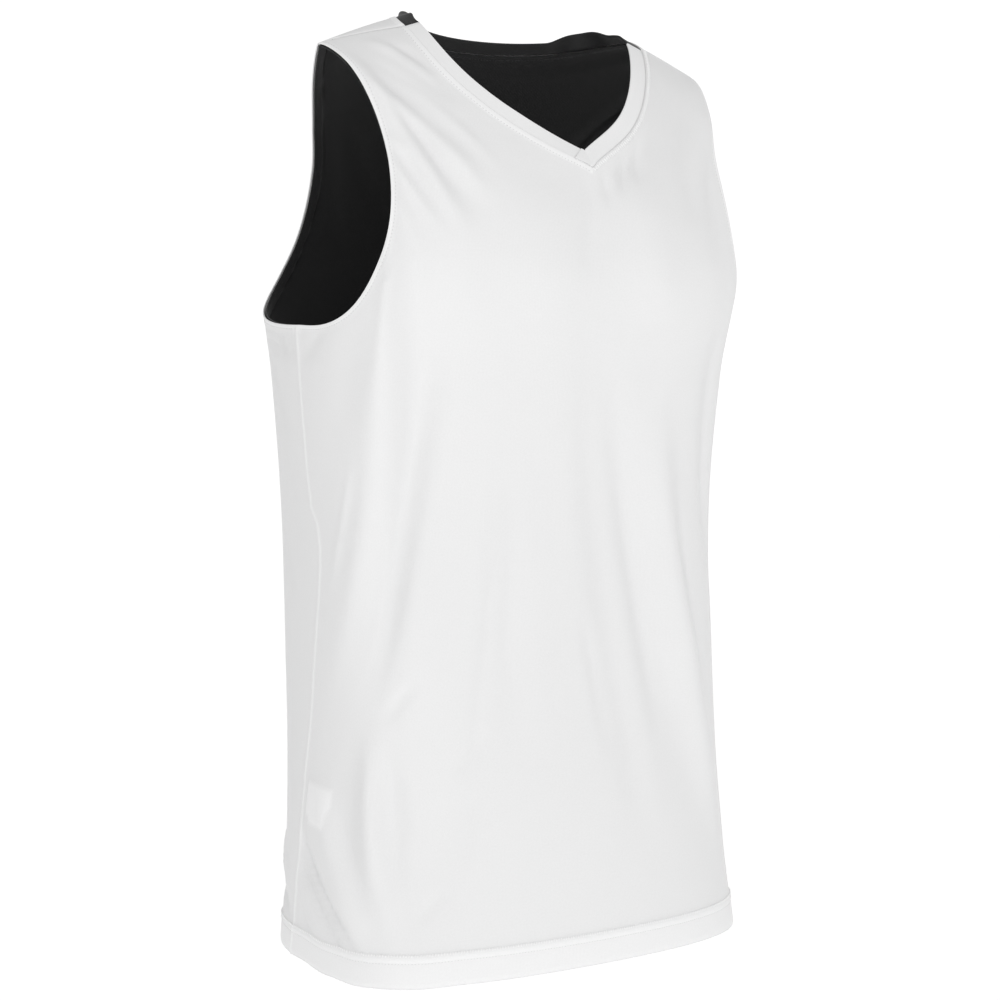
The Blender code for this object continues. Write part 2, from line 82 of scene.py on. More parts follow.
TRUNK_COLUMNS = ("height", "half_width", "front_depth", "back_depth", "squareness")
TRUNK = np.array([
    (0.0, 198.0, 130.0, 99.0, 0.058),
    (110.0, 196.0, 121.0, 104.0, 0.030),
    (230.0, 188.0, 107.0, 122.0, 0.046),
    (360.0, 186.0, 100.0, 136.0, 0.049),
    (470.0, 194.0, 107.0, 137.0, 0.051),
    (560.0, 199.0, 115.0, 133.0, 0.075),
])
# How far the hem hangs above its level on the wearer's right, where a buckle draws it up.
# Columns: place, from 0 at the centre front over 1 at the side seam to 2 at the centre back; rise.
HEM_LEVEL = np.array([(0.00, 0.0), (0.32, 0.0), (0.50, -1.8), (0.70, -2.3), (0.84, 0.3), (1.00, 5.5),
                      (1.25, 7.5), (1.60, 3.0), (2.00, 0.0)])
HEM_LEVEL_REACH = 130.0


# %% Easing and tables
def smooth(share):
    """Ease from 0 to 1."""
    share = np.clip(share, 0.0, 1.0)
    return share * share * (3.0 - 2.0 * share)


def eased(table, place):
    """The second column of a table at any place in its first, eased from row to row."""
    row = np.clip(np.searchsorted(table[:, 0], place, side="right") - 1, 0, len(table) - 2)
    low, high = table[row], table[row + 1]
    share = smooth((place - low[..., 0]) / (high[..., 0] - low[..., 0]))
    return low[..., 1] * (1.0 - share) + high[..., 1] * share


def trunk_value(name, height):
    """One column of the trunk table at any height, along a smooth curve through its rows."""
    rows = TRUNK[:, 0]
    values = TRUNK[:, TRUNK_COLUMNS.index(name)]
    slopes = np.zeros_like(values)
    slopes[0] = (values[1] - values[0]) / (rows[1] - rows[0])
    slopes[1:-1] = (values[2:] - values[:-2]) / (rows[2:] - rows[:-2])
    height = np.clip(height, rows[0], rows[-1])
    row = np.clip(np.searchsorted(rows, height, side="right") - 1, 0, len(rows) - 2)
    step = rows[row + 1] - rows[row]
    t = (height - rows[row]) / step
    ease = t * t * (3.0 - 2.0 * t)
    rise = step * (slopes[row] * t * (1.0 - t) ** 2 - slopes[row + 1] * t * t * (1.0 - t))
    return values[row] * (1.0 - ease) + values[row + 1] * ease + rise


# %% From cloth coordinates to the smooth jersey
def ridge_height(x):
    """Height of the shoulder ridge, falling away from the neck point to the armhole."""
    fall = np.hypot(x, SHOULDER_ROUNDING) - math.hypot(NECK_POINT_X, SHOULDER_ROUNDING)
    return NECK_POINT_HEIGHT - math.tan(SHOULDER_SLOPE) * fall - SHOULDER_TILT * x


def round_the_side(across, along):
    """Cloth that runs past a side seam carries on over the other panel."""
    across, along = np.broadcast_arrays(np.asarray(across, float), np.asarray(along, float))
    past = np.abs(across) > 1.0
    over = np.where(past, np.sign(across) * (2.0 - np.abs(across)), across)
    return over, np.where(past, ROUND - along, along)


def body_point(across, along):
    """A point of the smooth jersey, in millimetres from the hem's level and the side seams."""
    across, along = round_the_side(across, along)
    at_back = along > RIDGE
    up = np.where(at_back, ROUND - along, along)
    height = np.minimum(up, CHEST_LINE)
    width = trunk_value("half_width", height)
    front = trunk_value("front_depth", height)
    back = trunk_value("back_depth", height)
    square = trunk_value("squareness", height)
    angle = across * math.pi / 2.0
    x = width * (np.sin(angle) + square * np.sin(3.0 * angle)) / (1.0 - square)
    depth = np.where(at_back, back, -front)
    y = depth * (np.cos(angle) - square * np.cos(3.0 * angle)) / (1.0 - square)
    climb = np.clip((up - CHEST_LINE) / OVER_SHOULDER, 0.0, 1.0) * math.pi / 2.0
    fall = BACK_FALL * np.minimum(np.abs(across), BACK_FALL_END) ** 2
    full = np.where(at_back, BACK_FULLNESS - fall, FRONT_FULLNESS)
    level, rise = np.maximum(np.cos(climb), 0.0), np.sin(climb)
    reach = (level ** full + rise ** full) ** (-1.0 / full)
    level, rise = level * reach, rise * reach
    ridge_x = x * RIDGE_SPREAD
    x = ridge_x + (x - ridge_x) * level
    y = RIDGE_SETBACK + (y - RIDGE_SETBACK) * level
    z = height + (ridge_height(ridge_x) - CHEST_LINE) * rise
    place = np.where(at_back, 2.0 - np.abs(across), np.abs(across))
    drawn = np.where(across < 0.0, eased(HEM_LEVEL, place), 0.0)
    z = z + drawn * (1.0 - smooth(up / HEM_LEVEL_REACH))
    return np.stack([x, y, z], axis=-1)


def body_frame(across, along, small_across=0.002, small_along=0.5):
    """The point, its outward normal, and the cloth's two directions with their lengths."""
    point = body_point(across, along)
    to_side = body_point(across + small_across, along) - body_point(across - small_across, along)
    onward = body_point(across, along + small_along) - body_point(across, along - small_along)
    to_side /= 2.0 * small_across
    onward /= 2.0 * small_along
    normal = np.cross(to_side, onward)
    normal /= np.linalg.norm(normal, axis=-1, keepdims=True)
    return point, normal, to_side, onward


# %% Lengths on the smooth jersey
def length_of(path):
    """Length of a path in cloth coordinates, in millimetres of cloth on the smooth jersey."""
    points = body_point(path[:, 0], path[:, 1])
    return float(np.linalg.norm(np.diff(points, axis=0), axis=1).sum())


def level_ring(up):
    """A line round the jersey at a height above the hem."""
    side_to_side = np.linspace(-1.0, 1.0, 401)
    forward = np.stack([side_to_side, np.full_like(side_to_side, up)], axis=-1)
    backward = np.stack([side_to_side[::-1], np.full_like(side_to_side, ROUND - up)], axis=-1)
    return np.concatenate([forward, backward[1:]])


for name, up in (("hem", 0.0), ("waist", 300.0), ("chest", 500.0)):
    print("round the", name, round(length_of(level_ring(up))), "mm")

# %% [markdown]
# ## Folds and creases
#
# Cloth that hangs from two shoulders falls in a few long soft folds, pulls in short slanting drag
# lines from the straps, and buckles where the hem turns the corner at the side.  A simulation
# would give folds of its own; here each is a soft ridge or trough along a line, so that it has the
# place, length and depth that it should.  The first tables are the large folds, which the packed
# solids share, and the second are the finer creases that are laid over them.  Most of the front's
# folds and a third of its creases are rounded results of a fit made by a separate program, and the
# others are placed by hand.

# %% Tables of folds
# Columns: height and across of the low end, height and across of the high end, bow, width, depth.
# Heights, widths and depths are in millimetres; a positive depth is a ridge and a negative one a
# trough.  The bow moves a row's middle aside.
FRONT_FOLDS = np.array([
    (175, -0.45, 555, -0.555, -0.02, 26, 4),  # broad ridge where the front turns
    (200, -0.855, 595, -0.5, 0.045, 17.5, 4.2),  # ridge and hollow at its side
    (360, -0.75, 610, -0.515, 0.03, 22, 3.3),
    (200, -0.855, 460, -0.695, -0.03, 22.5, 1.5),
    (255, -0.65, 710, -0.44, 0.09, 19, -6.6),  # long troughs inside it
    (220, -0.57, 600, -0.255, -0.056, 17.5, -5.4),
    (193, -0.7, 525, -0.325, 0.007, 15, -3.9),
    (20, -0.69, 215, -0.635, 0, 18.5, 4.2),  # buckles above the right end of the hem
    (20, -0.65, 166, -0.915, -0.057, 23, 3.2),
    (20, -0.48, 360, -0.065, -0.025, 22.5, -2.6),  # down the middle
    (130, -0.2, 490, 0.04, -0.07, 22, -2.4),
    (50, 0.175, 560, -0.015, 0, 14, -4.2),  # left half: trough, ridge, trough
    (28, 0.37, 620, 0.04, 0.064, 26, -3.6),
    (127, 0.275, 552, 0.027, 0.015, 15.7, -5.4),
    (38, 0.57, 485, 0.185, -0.03, 18, 5.6),
    (121, 0.395, 468, 0.227, -0.025, 15.6, 3.6),
    (48, 0.7, 346, 0.274, -0.08, 25, 2.1),
    (272, 0.67, 555, 0.53, -0.09, 17.3, -5),
    (585, -0.26, 720, -0.465, 0, 12, -2.6),  # drag lines from the right strap
    (640, -0.3, 770, -0.45, 0, 12, -2.4),
    (690, -0.24, 810, -0.39, 0, 11, -2),
])
BACK_FOLDS = np.array([
    (120, -0.62, 520, -0.45, 0.02, 20, 3.6),
    (110, -0.45, 470, -0.34, 0.01, 18, -3.4),
    (90, -0.16, 560, -0.1, 0.01, 26, 3.2),
    (100, 0.08, 420, 0.12, -0.01, 20, -3.4),
    (130, 0.34, 500, 0.26, 0.02, 22, 3.8),
    (110, 0.52, 440, 0.4, 0.01, 17, -3.4),
    (90, 0.7, 330, 0.62, 0, 17, 3),
    (560, 0.2, 700, 0.36, 0, 13, -2.2),
    (560, -0.22, 700, -0.37, 0, 13, -2.2),
])

FRONT_CREASES = np.array([
    (443, -0.612, 685, -0.484, 0.028, 8, 3.6),  # along the ridge where the front turns
    (305, -0.845, 415, -0.7, 0, 5, 1.4),
    (222, -0.7, 400, -0.56, 0.04, 7, 1),
    (205, -0.65, 440, -0.42, 0.03, 7, -1.6),
    (200, -0.6, 240, -0.46, 0, 5, -1.6),  # short sharp ones below it
    (158, -0.37, 194, -0.262, 0, 4, -1.5),
    (20, -0.562, 166, -0.679, 0, 12.7, 4),  # buckles above the right end of the hem
    (20, -0.678, 160, -0.884, -0.012, 12.5, 3.4),
    (48, -0.675, 138, -0.809, 0.037, 9.5, -2.5),
    (105, -0.52, 172, -0.55, 0, 7, -1.2),
    (10, -0.65, 118, -1.02, -0.02, 5.6, -4.4),
    (12, -0.73, 94, -1.04, 0, 4.8, -3.8),
    (16, -0.9, 62, -1.06, 0, 4.6, -1.6),
    (62, -0.62, 195, -0.665, 0, 9, 3.2),
    (62, -0.545, 195, -0.585, 0, 9, -3),
    (46, -0.485, 76, -0.395, 0, 4, -1.3),
    (86, -0.347, 154, -0.31, 0, 5, -1.3),
    (90, -0.335, 380, -0.215, 0.01, 7, -2.2),  # thin lines down the middle
    (120, -0.27, 450, -0.24, 0, 10, 1),
    (150, -0.12, 420, -0.105, 0, 12, 1.2),
    (150, 0.08, 290, 0.012, 0, 6, -1.8),
    (140, 0.255, 440, 0.11, 0, 6.5, -1.6),
    (180, -0.19, 420, -0.17, 0, 8, -1.2),
    (157, 0.419, 484, 0.238, -0.008, 12, 3.4),  # left half
    (170, 0.5, 400, 0.3, 0, 7, -1.6),
    (60, 0.7, 170, 0.8, 0, 9, -1.2),
    (549, -0.26, 836, -0.577, -0.004, 10, 5.8),  # drag lines from the right strap
    (706, -0.238, 824, -0.438, 0, 6.5, 3.2),
    (595, -0.205, 765, -0.53, 0.015, 7, 3.4),
    (578, -0.335, 667, -0.495, 0, 4.2, 1.7),
    (556, -0.388, 622, -0.482, 0, 5, 1.1),
    (652, -0.402, 682, -0.472, 0, 4, 0.9),
    (594, -0.258, 760, -0.484, -0.014, 7, -3.2),
    (571, -0.299, 670, -0.477, 0.006, 6.5, -2.2),
    (620, -0.167, 770, -0.437, 0, 5, 1.4),
    (700, -0.225, 812, -0.4, 0, 6, -1.3),
    (672, -0.27, 785, -0.45, 0, 6, -1.4),
    (732, -0.255, 800, -0.365, 0, 4.5, -1.3),
    (455, -0.035, 691, -0.274, 0.024, 26, 2.4),  # between the straps
    (514, -0.058, 632, -0.058, 0, 26, 2.4),
    (503, 0.22, 642, 0.155, -0.017, 23, 3.8),
    (540, -0.01, 640, 0.03, 0, 7, -1.2),
    (608, 0.09, 676, 0.138, 0, 3.8, -3.8),  # gathers beside the V
    (618, 0.136, 690, 0.172, 0, 3.8, -3),
    (600, 0.062, 652, 0.056, 0, 4.2, -1.8),
    (617, 0.148, 791, 0.219, 0.052, 23, -3.4),  # left strap
    (508, 0.493, 743, 0.529, -0.085, 26, -3.6),
    (570, 0.324, 776, 0.447, -0.055, 15.5, -4.2),
    (574, 0.375, 741, 0.446, 0.024, 14.3, -3),
    (637, 0.396, 850, 0.534, 0.005, 14, 4.6),
    (475, -0.923, 555, -0.586, -0.09, 20, -1.6),  # gathers under the arms
    (478, -1, 512, -0.83, 0, 5, -1),
    (470, 0.98, 512, 0.85, 0, 5, -0.9),
])
BACK_CREASES = np.array([
    (340, -0.95, 480, -0.74, 0, 6, -1.2),  # slanting to the right side seam
    (290, -0.89, 360, -0.76, 0, 5, -1),
    (484, -1.02, 507, -0.7, 0, 4.5, -2),
    (498, -1, 514, -0.66, 0, 3.5, -1.2),
    (415, -0.9, 500, -0.72, 0, 5, -1.8),
    (26, -0.9, 72, -0.6, 0, 7.5, -4.2),  # buckle above the right end of the hem
    (52, -0.9, 112, -0.6, 0, 10, 2.2),
    (150, -0.74, 420, -0.56, 0.02, 10, -1.3),
    (160, -0.3, 480, -0.23, 0.01, 11, 1.1),
    (120, -0.02, 400, 0, 0.01, 12, 1),
    (140, 0.21, 430, 0.18, -0.01, 10, -1.2),
    (150, 0.44, 400, 0.34, 0.01, 10, 1.2),
    (180, 0.78, 420, 0.62, 0.01, 11, -1.3),
    (300, 0.93, 440, 0.74, 0, 7, -1),
    (50, 0.86, 110, 0.7, 0, 8, -1.3),
    (50, 0.33, 150, 0.42, 0, 9, 1.2),
    (590, -0.1, 720, -0.3, 0, 9, -1),  # between the shoulder blades
    (600, 0.08, 730, 0.3, 0, 9, -1.1),
    (650, 0.26, 780, 0.43, 0, 8, -0.9),
    (640, -0.28, 780, -0.44, 0, 8, -1),
    (480, 0.96, 512, 0.78, 0, 5, -1),
])

# The share of its length over which a row dies away at each end, and how near the side seams, in
# the across coordinate, folds and creases die away
FOLD_FADE = 0.35
SIDE_CALM = 0.06
CREASE_CALM = 0.025
print(len(FRONT_FOLDS) + len(BACK_FOLDS), "folds,", len(FRONT_CREASES) + len(BACK_CREASES), "creases")


# %% From tables to the folded cloth
def along_lines(across, along, front_table, back_table):
    """How far a table's ridges and troughs push the cloth out at each point."""
    across, along = round_the_side(across, along)
    at_back = along > RIDGE
    up = np.where(at_back, ROUND - along, along)
    total = np.zeros(np.broadcast(across, along).shape)
    for table, here in ((front_table, ~at_back), (back_table, at_back)):
        for low, across_low, high, across_high, bow, width, depth in table:
            t = (up - low) / (high - low)
            run = across_low + (across_high - across_low) * t + 4.0 * bow * t * (1.0 - t)
            lean = ACROSS_MM * (across_high - across_low) / (high - low)
            aside = ACROSS_MM * (across - run) / math.hypot(1.0, lean)
            fade = smooth(t / FOLD_FADE) * smooth((1.0 - t) / FOLD_FADE)
            total += np.where(here, depth * fade * np.exp(-(aside / width) ** 2), 0.0)
    return total


def cloth_point(across, along, out=0.0, creased=1.0):
    """A point of the folded jersey, `out` millimetres outside the white ply's inner face.

    `creased` is the share of the finer creases, which die away beside the neckband.
    """
    across, along = np.broadcast_arrays(np.asarray(across, float), np.asarray(along, float))
    point, normal, _, _ = body_frame(across, along)
    from_side = np.abs(1.0 - np.abs(across))
    push = along_lines(across, along, FRONT_FOLDS, BACK_FOLDS) * smooth(from_side / SIDE_CALM)
    fine = along_lines(across, along, FRONT_CREASES, BACK_CREASES)
    push += creased * fine * smooth(from_side / CREASE_CALM)
    return point + normal * (push + out)[..., None]


def to_world(point):
    """Metres from the origin on the shoulder line."""
    return (np.asarray(point) - np.array([0.0, RIDGE_SETBACK, CARRY_HEIGHT])) * MM


# %% [markdown]
# ## Cut lines
#
# The neck and the armholes are the cut lines of the pattern.  On paper a cutter draws them with
# a curve ruler; here each is one Bezier curve in cloth coordinates, given by the height and
# fullness of its ends.  Because they are curves on the cloth and not in space, the panels, the
# neckband and every row of stitches can follow them.

# %% Cut lines and the side seam
UNDERARM = 512.0
V_POINT = (0.032, 634.4)
ARMHOLE_FRONT_RIGHT = ((1.0, UNDERARM), (0.840, UNDERARM), (0.227, 480.0))
ARMHOLE_FRONT_LEFT = ((1.0, UNDERARM), (0.840, UNDERARM), (0.260, 480.0))
ARMHOLE_BACK = ((1.0, UNDERARM), (0.082, UNDERARM), (0.306, 658.6))
NECK_FRONT_RIGHT = ((-0.025, 642.0), (0.272, 662.1))
NECK_FRONT_LEFT = ((0.142, 671.1), (0.198, 670.1))
NECK_BACK = ((0.0, 766.5), (0.197, 766.5), (0.327, 849.0))
SHOULDER_SEAM_AT_NECK = 822.0
# The right side seam is pulled forward where a crease crosses it.  Columns: height, forward.
SEAM_PULL = np.array([(0.0, -0.078), (34.0, -0.046), (60.0, -0.030), (94.0, 0.0), (150.0, 0.016),
                      (215.0, 0.035), (335.0, 0.078), (352.0, 0.066), (372.0, 0.014), (400.0, 0.0),
                      (UNDERARM, 0.0)])


def curve(controls, share):
    """Points of a cubic Bezier curve through cloth coordinates, at shares of its length."""
    a, b, c, d = (np.array(control, float) for control in controls)
    t = np.linspace(0.0, 1.0, 601)[:, None]
    s = 1.0 - t
    points = a * s ** 3 + 3.0 * b * s * s * t + 3.0 * c * s * t * t + d * t ** 3
    steps = np.diff(points, axis=0) * np.array([ACROSS_MM, 1.0])
    run = np.concatenate([[0.0], np.cumsum(np.hypot(steps[:, 0], steps[:, 1]))])
    return np.stack([np.interp(share, run / run[-1], points[:, k]) for k in (0, 1)], axis=-1)


def across_at_ridge(x):
    """The across coordinate of the ridge point at distance x from the centre."""
    steps = np.linspace(0.0, 1.0, 401)
    return float(np.interp(x, body_point(steps, RIDGE)[:, 0], steps))


SHOULDER_AT_NECK = (across_at_ridge(NECK_POINT_X), SHOULDER_SEAM_AT_NECK)
SHOULDER_AT_TIP = (across_at_ridge(SHOULDER_TIP_X), RIDGE)


def sided(controls, side):
    """Control points of the wearer's left, or mirrored to the right."""
    return [(side * across, along) for across, along in controls]


def from_back(controls):
    """Control points counted up from the back hem, as places on the full run of cloth."""
    return [(across, ROUND - up) for across, up in controls]


def armhole(side, at_back, share):
    """The armhole's edge from the underarm to the shoulder tip."""
    front = ARMHOLE_FRONT_LEFT if side > 0 else ARMHOLE_FRONT_RIGHT
    cut = from_back(ARMHOLE_BACK) if at_back else list(front)
    return curve(sided(cut + [SHOULDER_AT_TIP], side), share)


def neck_seam_front(side, share):
    """The neck seam from the V to the shoulder seam."""
    cut = NECK_FRONT_LEFT if side > 0 else NECK_FRONT_RIGHT
    return curve([V_POINT] + sided(list(cut) + [SHOULDER_AT_NECK], side), share)


def neck_seam_back(side, share):
    """The neck seam from the centre back to the shoulder seam."""
    return curve(sided(from_back(NECK_BACK) + [SHOULDER_AT_NECK], side), share)


def side_seam(side, at_back, up):
    """The side seam at heights above the hem."""
    forward = eased(SEAM_PULL, up) if side < 0 else np.zeros_like(up)
    across = side * (1.0 + forward if at_back else 1.0 - forward)
    return np.stack([across, ROUND - up if at_back else up], axis=-1)


SHARES = np.linspace(0.0, 1.0, 241)
NECK_RING = np.concatenate([neck_seam_front(1, SHARES), neck_seam_back(1, SHARES)[::-1][1:],
                            neck_seam_back(-1, SHARES)[1:], neck_seam_front(-1, SHARES)[::-1][1:]])
ARMHOLE_RINGS = {side: np.concatenate([armhole(side, False, SHARES),
                                       armhole(side, True, SHARES)[::-1][1:]]) for side in (-1, 1)}
print("neck seam", round(length_of(NECK_RING)), "mm; armholes",
      [round(length_of(ring)) for ring in ARMHOLE_RINGS.values()], "mm")

# %% [markdown]
# ## Turned edges and pressed seams
#
# Sewing changes the surface of cloth by fractions of a millimetre, and that is what makes it look
# sewn.  The hem is folded up and held by two rows with a soft tunnel between them, the seam
# allowance lies as a low strip below the neck seam, and each armhole has a rolled edge with a
# row 3 mm in.  A bump texture could fake these, but real relief also shows on the outline, so it
# is part of the cloth's height here, worked out from the distance to the nearest cut line.  The
# lining is sewn to the outer ply at the edges alone, so away from them it hangs a little looser.

# %% Sizes of the sewing, in millimetres
# The neck strip, armhole row and facing are measured from the cut edge, the hem's rows from the hem.
PLY = 1.0
PLY_GAP = 0.5
LINING_LIFT = 4.0
LINING_LOOSE = 1.6
HEM_DEPTH = 26.0
HEM_THICKER = 0.7
HEM_ROW_LOW = 19.3
HEM_ROW_HIGH = 26.0
TUNNEL_RISE = 0.75
HEM_FOLD_DROP = 0.80
NECK_STRIP = 4.4
STRIP_RISE = 0.50
ARMHOLE_ROW = 3.2
ROLL_RISE = 0.30
FACING = 8.5
FACING_RISE = 1.0
FACING_ROLL = 0.5
SIDE_RIDGE = 0.55
SIDE_RIDGE_IN_HEM = 0.35
LABEL_CORNERS = ((-0.948, 152.0), (-0.806, 147.0), (-0.839, 115.0), (-0.957, 122.0))
LABEL_RISE = 0.30
# Depth and width to which each row of stitches or seam pulls the cloth in
DITCHES = {
    "hem row": (0.30, 0.9),
    "strip row": (0.35, 0.6),
    "neck seam": (0.10, 0.9),
    "facing edge": (1.1, 0.8),
    "armhole row": (0.45, 0.8),
    "shoulder seam": (0.5, 0.9),
}
# How doubled the cloth looks: 1 is as white as cloth that is turned double and pressed.  The last
# two are painted shade beside the teeth: the level under the neck teeth, and the share taken off
# below the hem's upper row.
HEM_DOUBLED = 0.75
STRIP_DOUBLED = 0.9
PAINTED_SHADE_UNDER_TEETH = 0.1
ROLL_DOUBLED = 0.35
SHOULDER_DOUBLED = 0.5
PAINTED_SHADE_BELOW_HEM_TEETH = 0.4


# %% Distances on the cloth
def near_lines(rings):
    """A tree of the points along some cut lines, for measuring how near they are."""
    points = np.concatenate([body_point(ring[:, 0], ring[:, 1]) for ring in rings])
    tree = kdtree.KDTree(len(points))
    for index, point in enumerate(points):
        tree.insert(point, index)
    tree.balance()
    return tree


def finer(path, times=4):
    """The same path with more points."""
    places = np.linspace(0.0, len(path) - 1.0, (len(path) - 1) * times + 1)
    return np.stack([np.interp(places, np.arange(len(path)), path[:, k]) for k in (0, 1)], axis=-1)


SHOULDER_SEAMS = [np.linspace((side * SHOULDER_AT_NECK[0], SHOULDER_AT_NECK[1]),
                              (side * SHOULDER_AT_TIP[0], SHOULDER_AT_TIP[1]), 161) for side in (-1, 1)]
SEAM_HEIGHTS = np.linspace(0.0, UNDERARM, 641)
SIDE_SEAMS = {side: side_seam(side, False, SEAM_HEIGHTS) for side in (-1, 1)}
NECK_LINES = near_lines([finer(NECK_RING)])
ARMHOLE_LINES = near_lines([finer(ring) for ring in ARMHOLE_RINGS.values()])
SHOULDER_LINES = near_lines(SHOULDER_SEAMS)
SIDE_LINES = near_lines(SIDE_SEAMS.values())


def distance_to(tree, across, along):
    """Distance over the smooth jersey from points of the cloth to the nearest cut line."""
    points = body_point(across, along).reshape(-1, 3)
    far = np.array([tree.find(point)[2] for point in points])
    return far.reshape(np.shape(across))


def inside(corners, across, along, soft):
    """1 within a four-sided patch of the cloth and 0 outside, over a soft edge in millimetres."""
    share = np.ones(np.shape(across))
    for first, second in zip(corners, corners[1:] + corners[:1]):
        edge = np.array([(second[0] - first[0]) * ACROSS_MM, second[1] - first[1]])
        edge /= np.hypot(*edge)
        offset = (across - first[0]) * ACROSS_MM * edge[1] - (along - first[1]) * edge[0]
        share = np.minimum(share, smooth(0.5 + offset / soft))
    return share


def near(distance, width):
    """1 on a line, dying away to both sides."""
    return np.exp(-(distance / width) ** 2)


def ditch(row, distance):
    """How far a row of stitches pulls the cloth in, in millimetres."""
    depth, width = DITCHES[row]
    return depth * near(distance, width)


# %% How the sewing lifts the cloth, and where it is doubled
def sewn_relief(across, along, is_lining):
    """Relief in millimetres towards the side of the ply that shows, and masks of the cloth.

    The masks say where the cloth is doubled, with painted shade beside the stitch teeth and at the
    hem's folded edge, and how far it is creased.
    """
    neck = distance_to(NECK_LINES, across, along)
    arm = distance_to(ARMHOLE_LINES, across, along)
    shoulder = distance_to(SHOULDER_LINES, across, along)
    side = distance_to(SIDE_LINES, across, along)
    _, folded_along = round_the_side(across, along)
    up = np.minimum(folded_along, ROUND - folded_along) - (LINING_LIFT if is_lining else 0.0)

    in_hem = 1.0 - smooth((up - HEM_DEPTH + 1.2) / 3.0)
    tunnel = smooth((up - HEM_ROW_LOW) / 2.4) * smooth((HEM_ROW_HIGH - up) / 2.4)
    lift = HEM_THICKER * in_hem + TUNNEL_RISE * tunnel - HEM_FOLD_DROP * smooth(1.0 - up / 2.5)
    lift -= ditch("hem row", up - HEM_ROW_LOW)

    on_strip = 1.0 - smooth((neck - NECK_STRIP - 0.2) / 1.2)
    lift += STRIP_RISE * on_strip - ditch("strip row", neck - NECK_STRIP) - ditch("neck seam", neck)

    if is_lining:
        lift += LINING_LOOSE * smooth((np.minimum.reduce([neck, arm, up, side]) - 10.0) / 16.0)
        on_facing = 1.0 - smooth((arm - FACING) / 0.9)
        lift += FACING_RISE * on_facing + FACING_ROLL * smooth(arm / 2.5) * on_facing
        lift -= ditch("facing edge", arm - FACING - 0.9)
    else:
        on_facing = 1.0 - smooth((arm - ARMHOLE_ROW - 0.5) / 2.0)
        lift += ROLL_RISE * on_facing * smooth(arm / 2.0) - ditch("armhole row", arm - ARMHOLE_ROW)
    lift += (SIDE_RIDGE + SIDE_RIDGE_IN_HEM * in_hem) * near(side, 1.5) - ditch("shoulder seam", shoulder)

    rim = 1.0 - smooth((arm - 2.0) / 1.0)
    # Under the teeth of the left front leg the strip is darkened: painted shade between the teeth
    at_teeth = (across > V_POINT[0]) & (along < RIDGE) & (not is_lining)
    strip_doubled_and_teeth_shade = np.where(at_teeth, PAINTED_SHADE_UNDER_TEETH, STRIP_DOUBLED)
    doubled = np.maximum.reduce([HEM_DOUBLED * in_hem, strip_doubled_and_teeth_shade * on_strip, ROLL_DOUBLED * on_facing,
                                 rim, near(side, 1.4), SHOULDER_DOUBLED * near(shoulder, 4.0)])
    # Painted shade along the hem's folded bottom edge, darker towards the fold
    doubled *= 0.2 + 0.8 * smooth(up / 1.8)
    if not is_lining:
        front_only = np.where(folded_along < RIDGE, 1.0, 0.0)
        on_label = inside(LABEL_CORNERS, across, folded_along, 1.0) * front_only
        lift += LABEL_RISE * on_label
        doubled = np.maximum(doubled, on_label)
        # Painted shade in a band just below the hem's upper row of teeth
        doubled *= 1.0 - PAINTED_SHADE_BELOW_HEM_TEETH * near(up - HEM_ROW_HIGH + 0.9, 1.5)
    return lift, doubled, smooth((neck - 4.0) / 16.0)


# %% [markdown]
# ## Panels
#
# Each ply is a front and a back, cut from flat knit.  A panel is laid out as a grid over its cut:
# rows go from the hem up and end on the shoulder seam, and columns go from the centre to the side.
# The step is 4 to 5.5 mm over the body and under a millimetre beside cut edges, where the relief
# needs it.  Solidify then gives the sheet its wall.

# %% Rows and columns of a panel
EDGE_STEPS = np.array([0.0, 0.5, 1.3, 2.4, 3.5, 4.4, 5.4, 6.8, 8.0, 9.2, 11.0])
HEM_ROWS = np.array([0.0, 0.6, 1.6, 4.5, 9.0, 14.0, 17.6, 18.6, 19.3, 20.0, 21.2, 22.7, 24.2, 25.4,
                     26.2, 27.0, 28.2, 31.0])
TRUNK_TOP = 400.0
ARMHOLE_SHARE_FRONT = 0.27
ARMHOLE_SHARE_BACK = 0.76
STRAP_RUN = 230.0
FRONT_STEP = 4.1
BACK_STEP = 4.8
LINING_STEP = 5.4


def even(first, last, step):
    """Evenly spaced values after `first` up to `last`, about `step` apart."""
    return np.linspace(first, last, int(round((last - first) / step)) + 1)[1:]


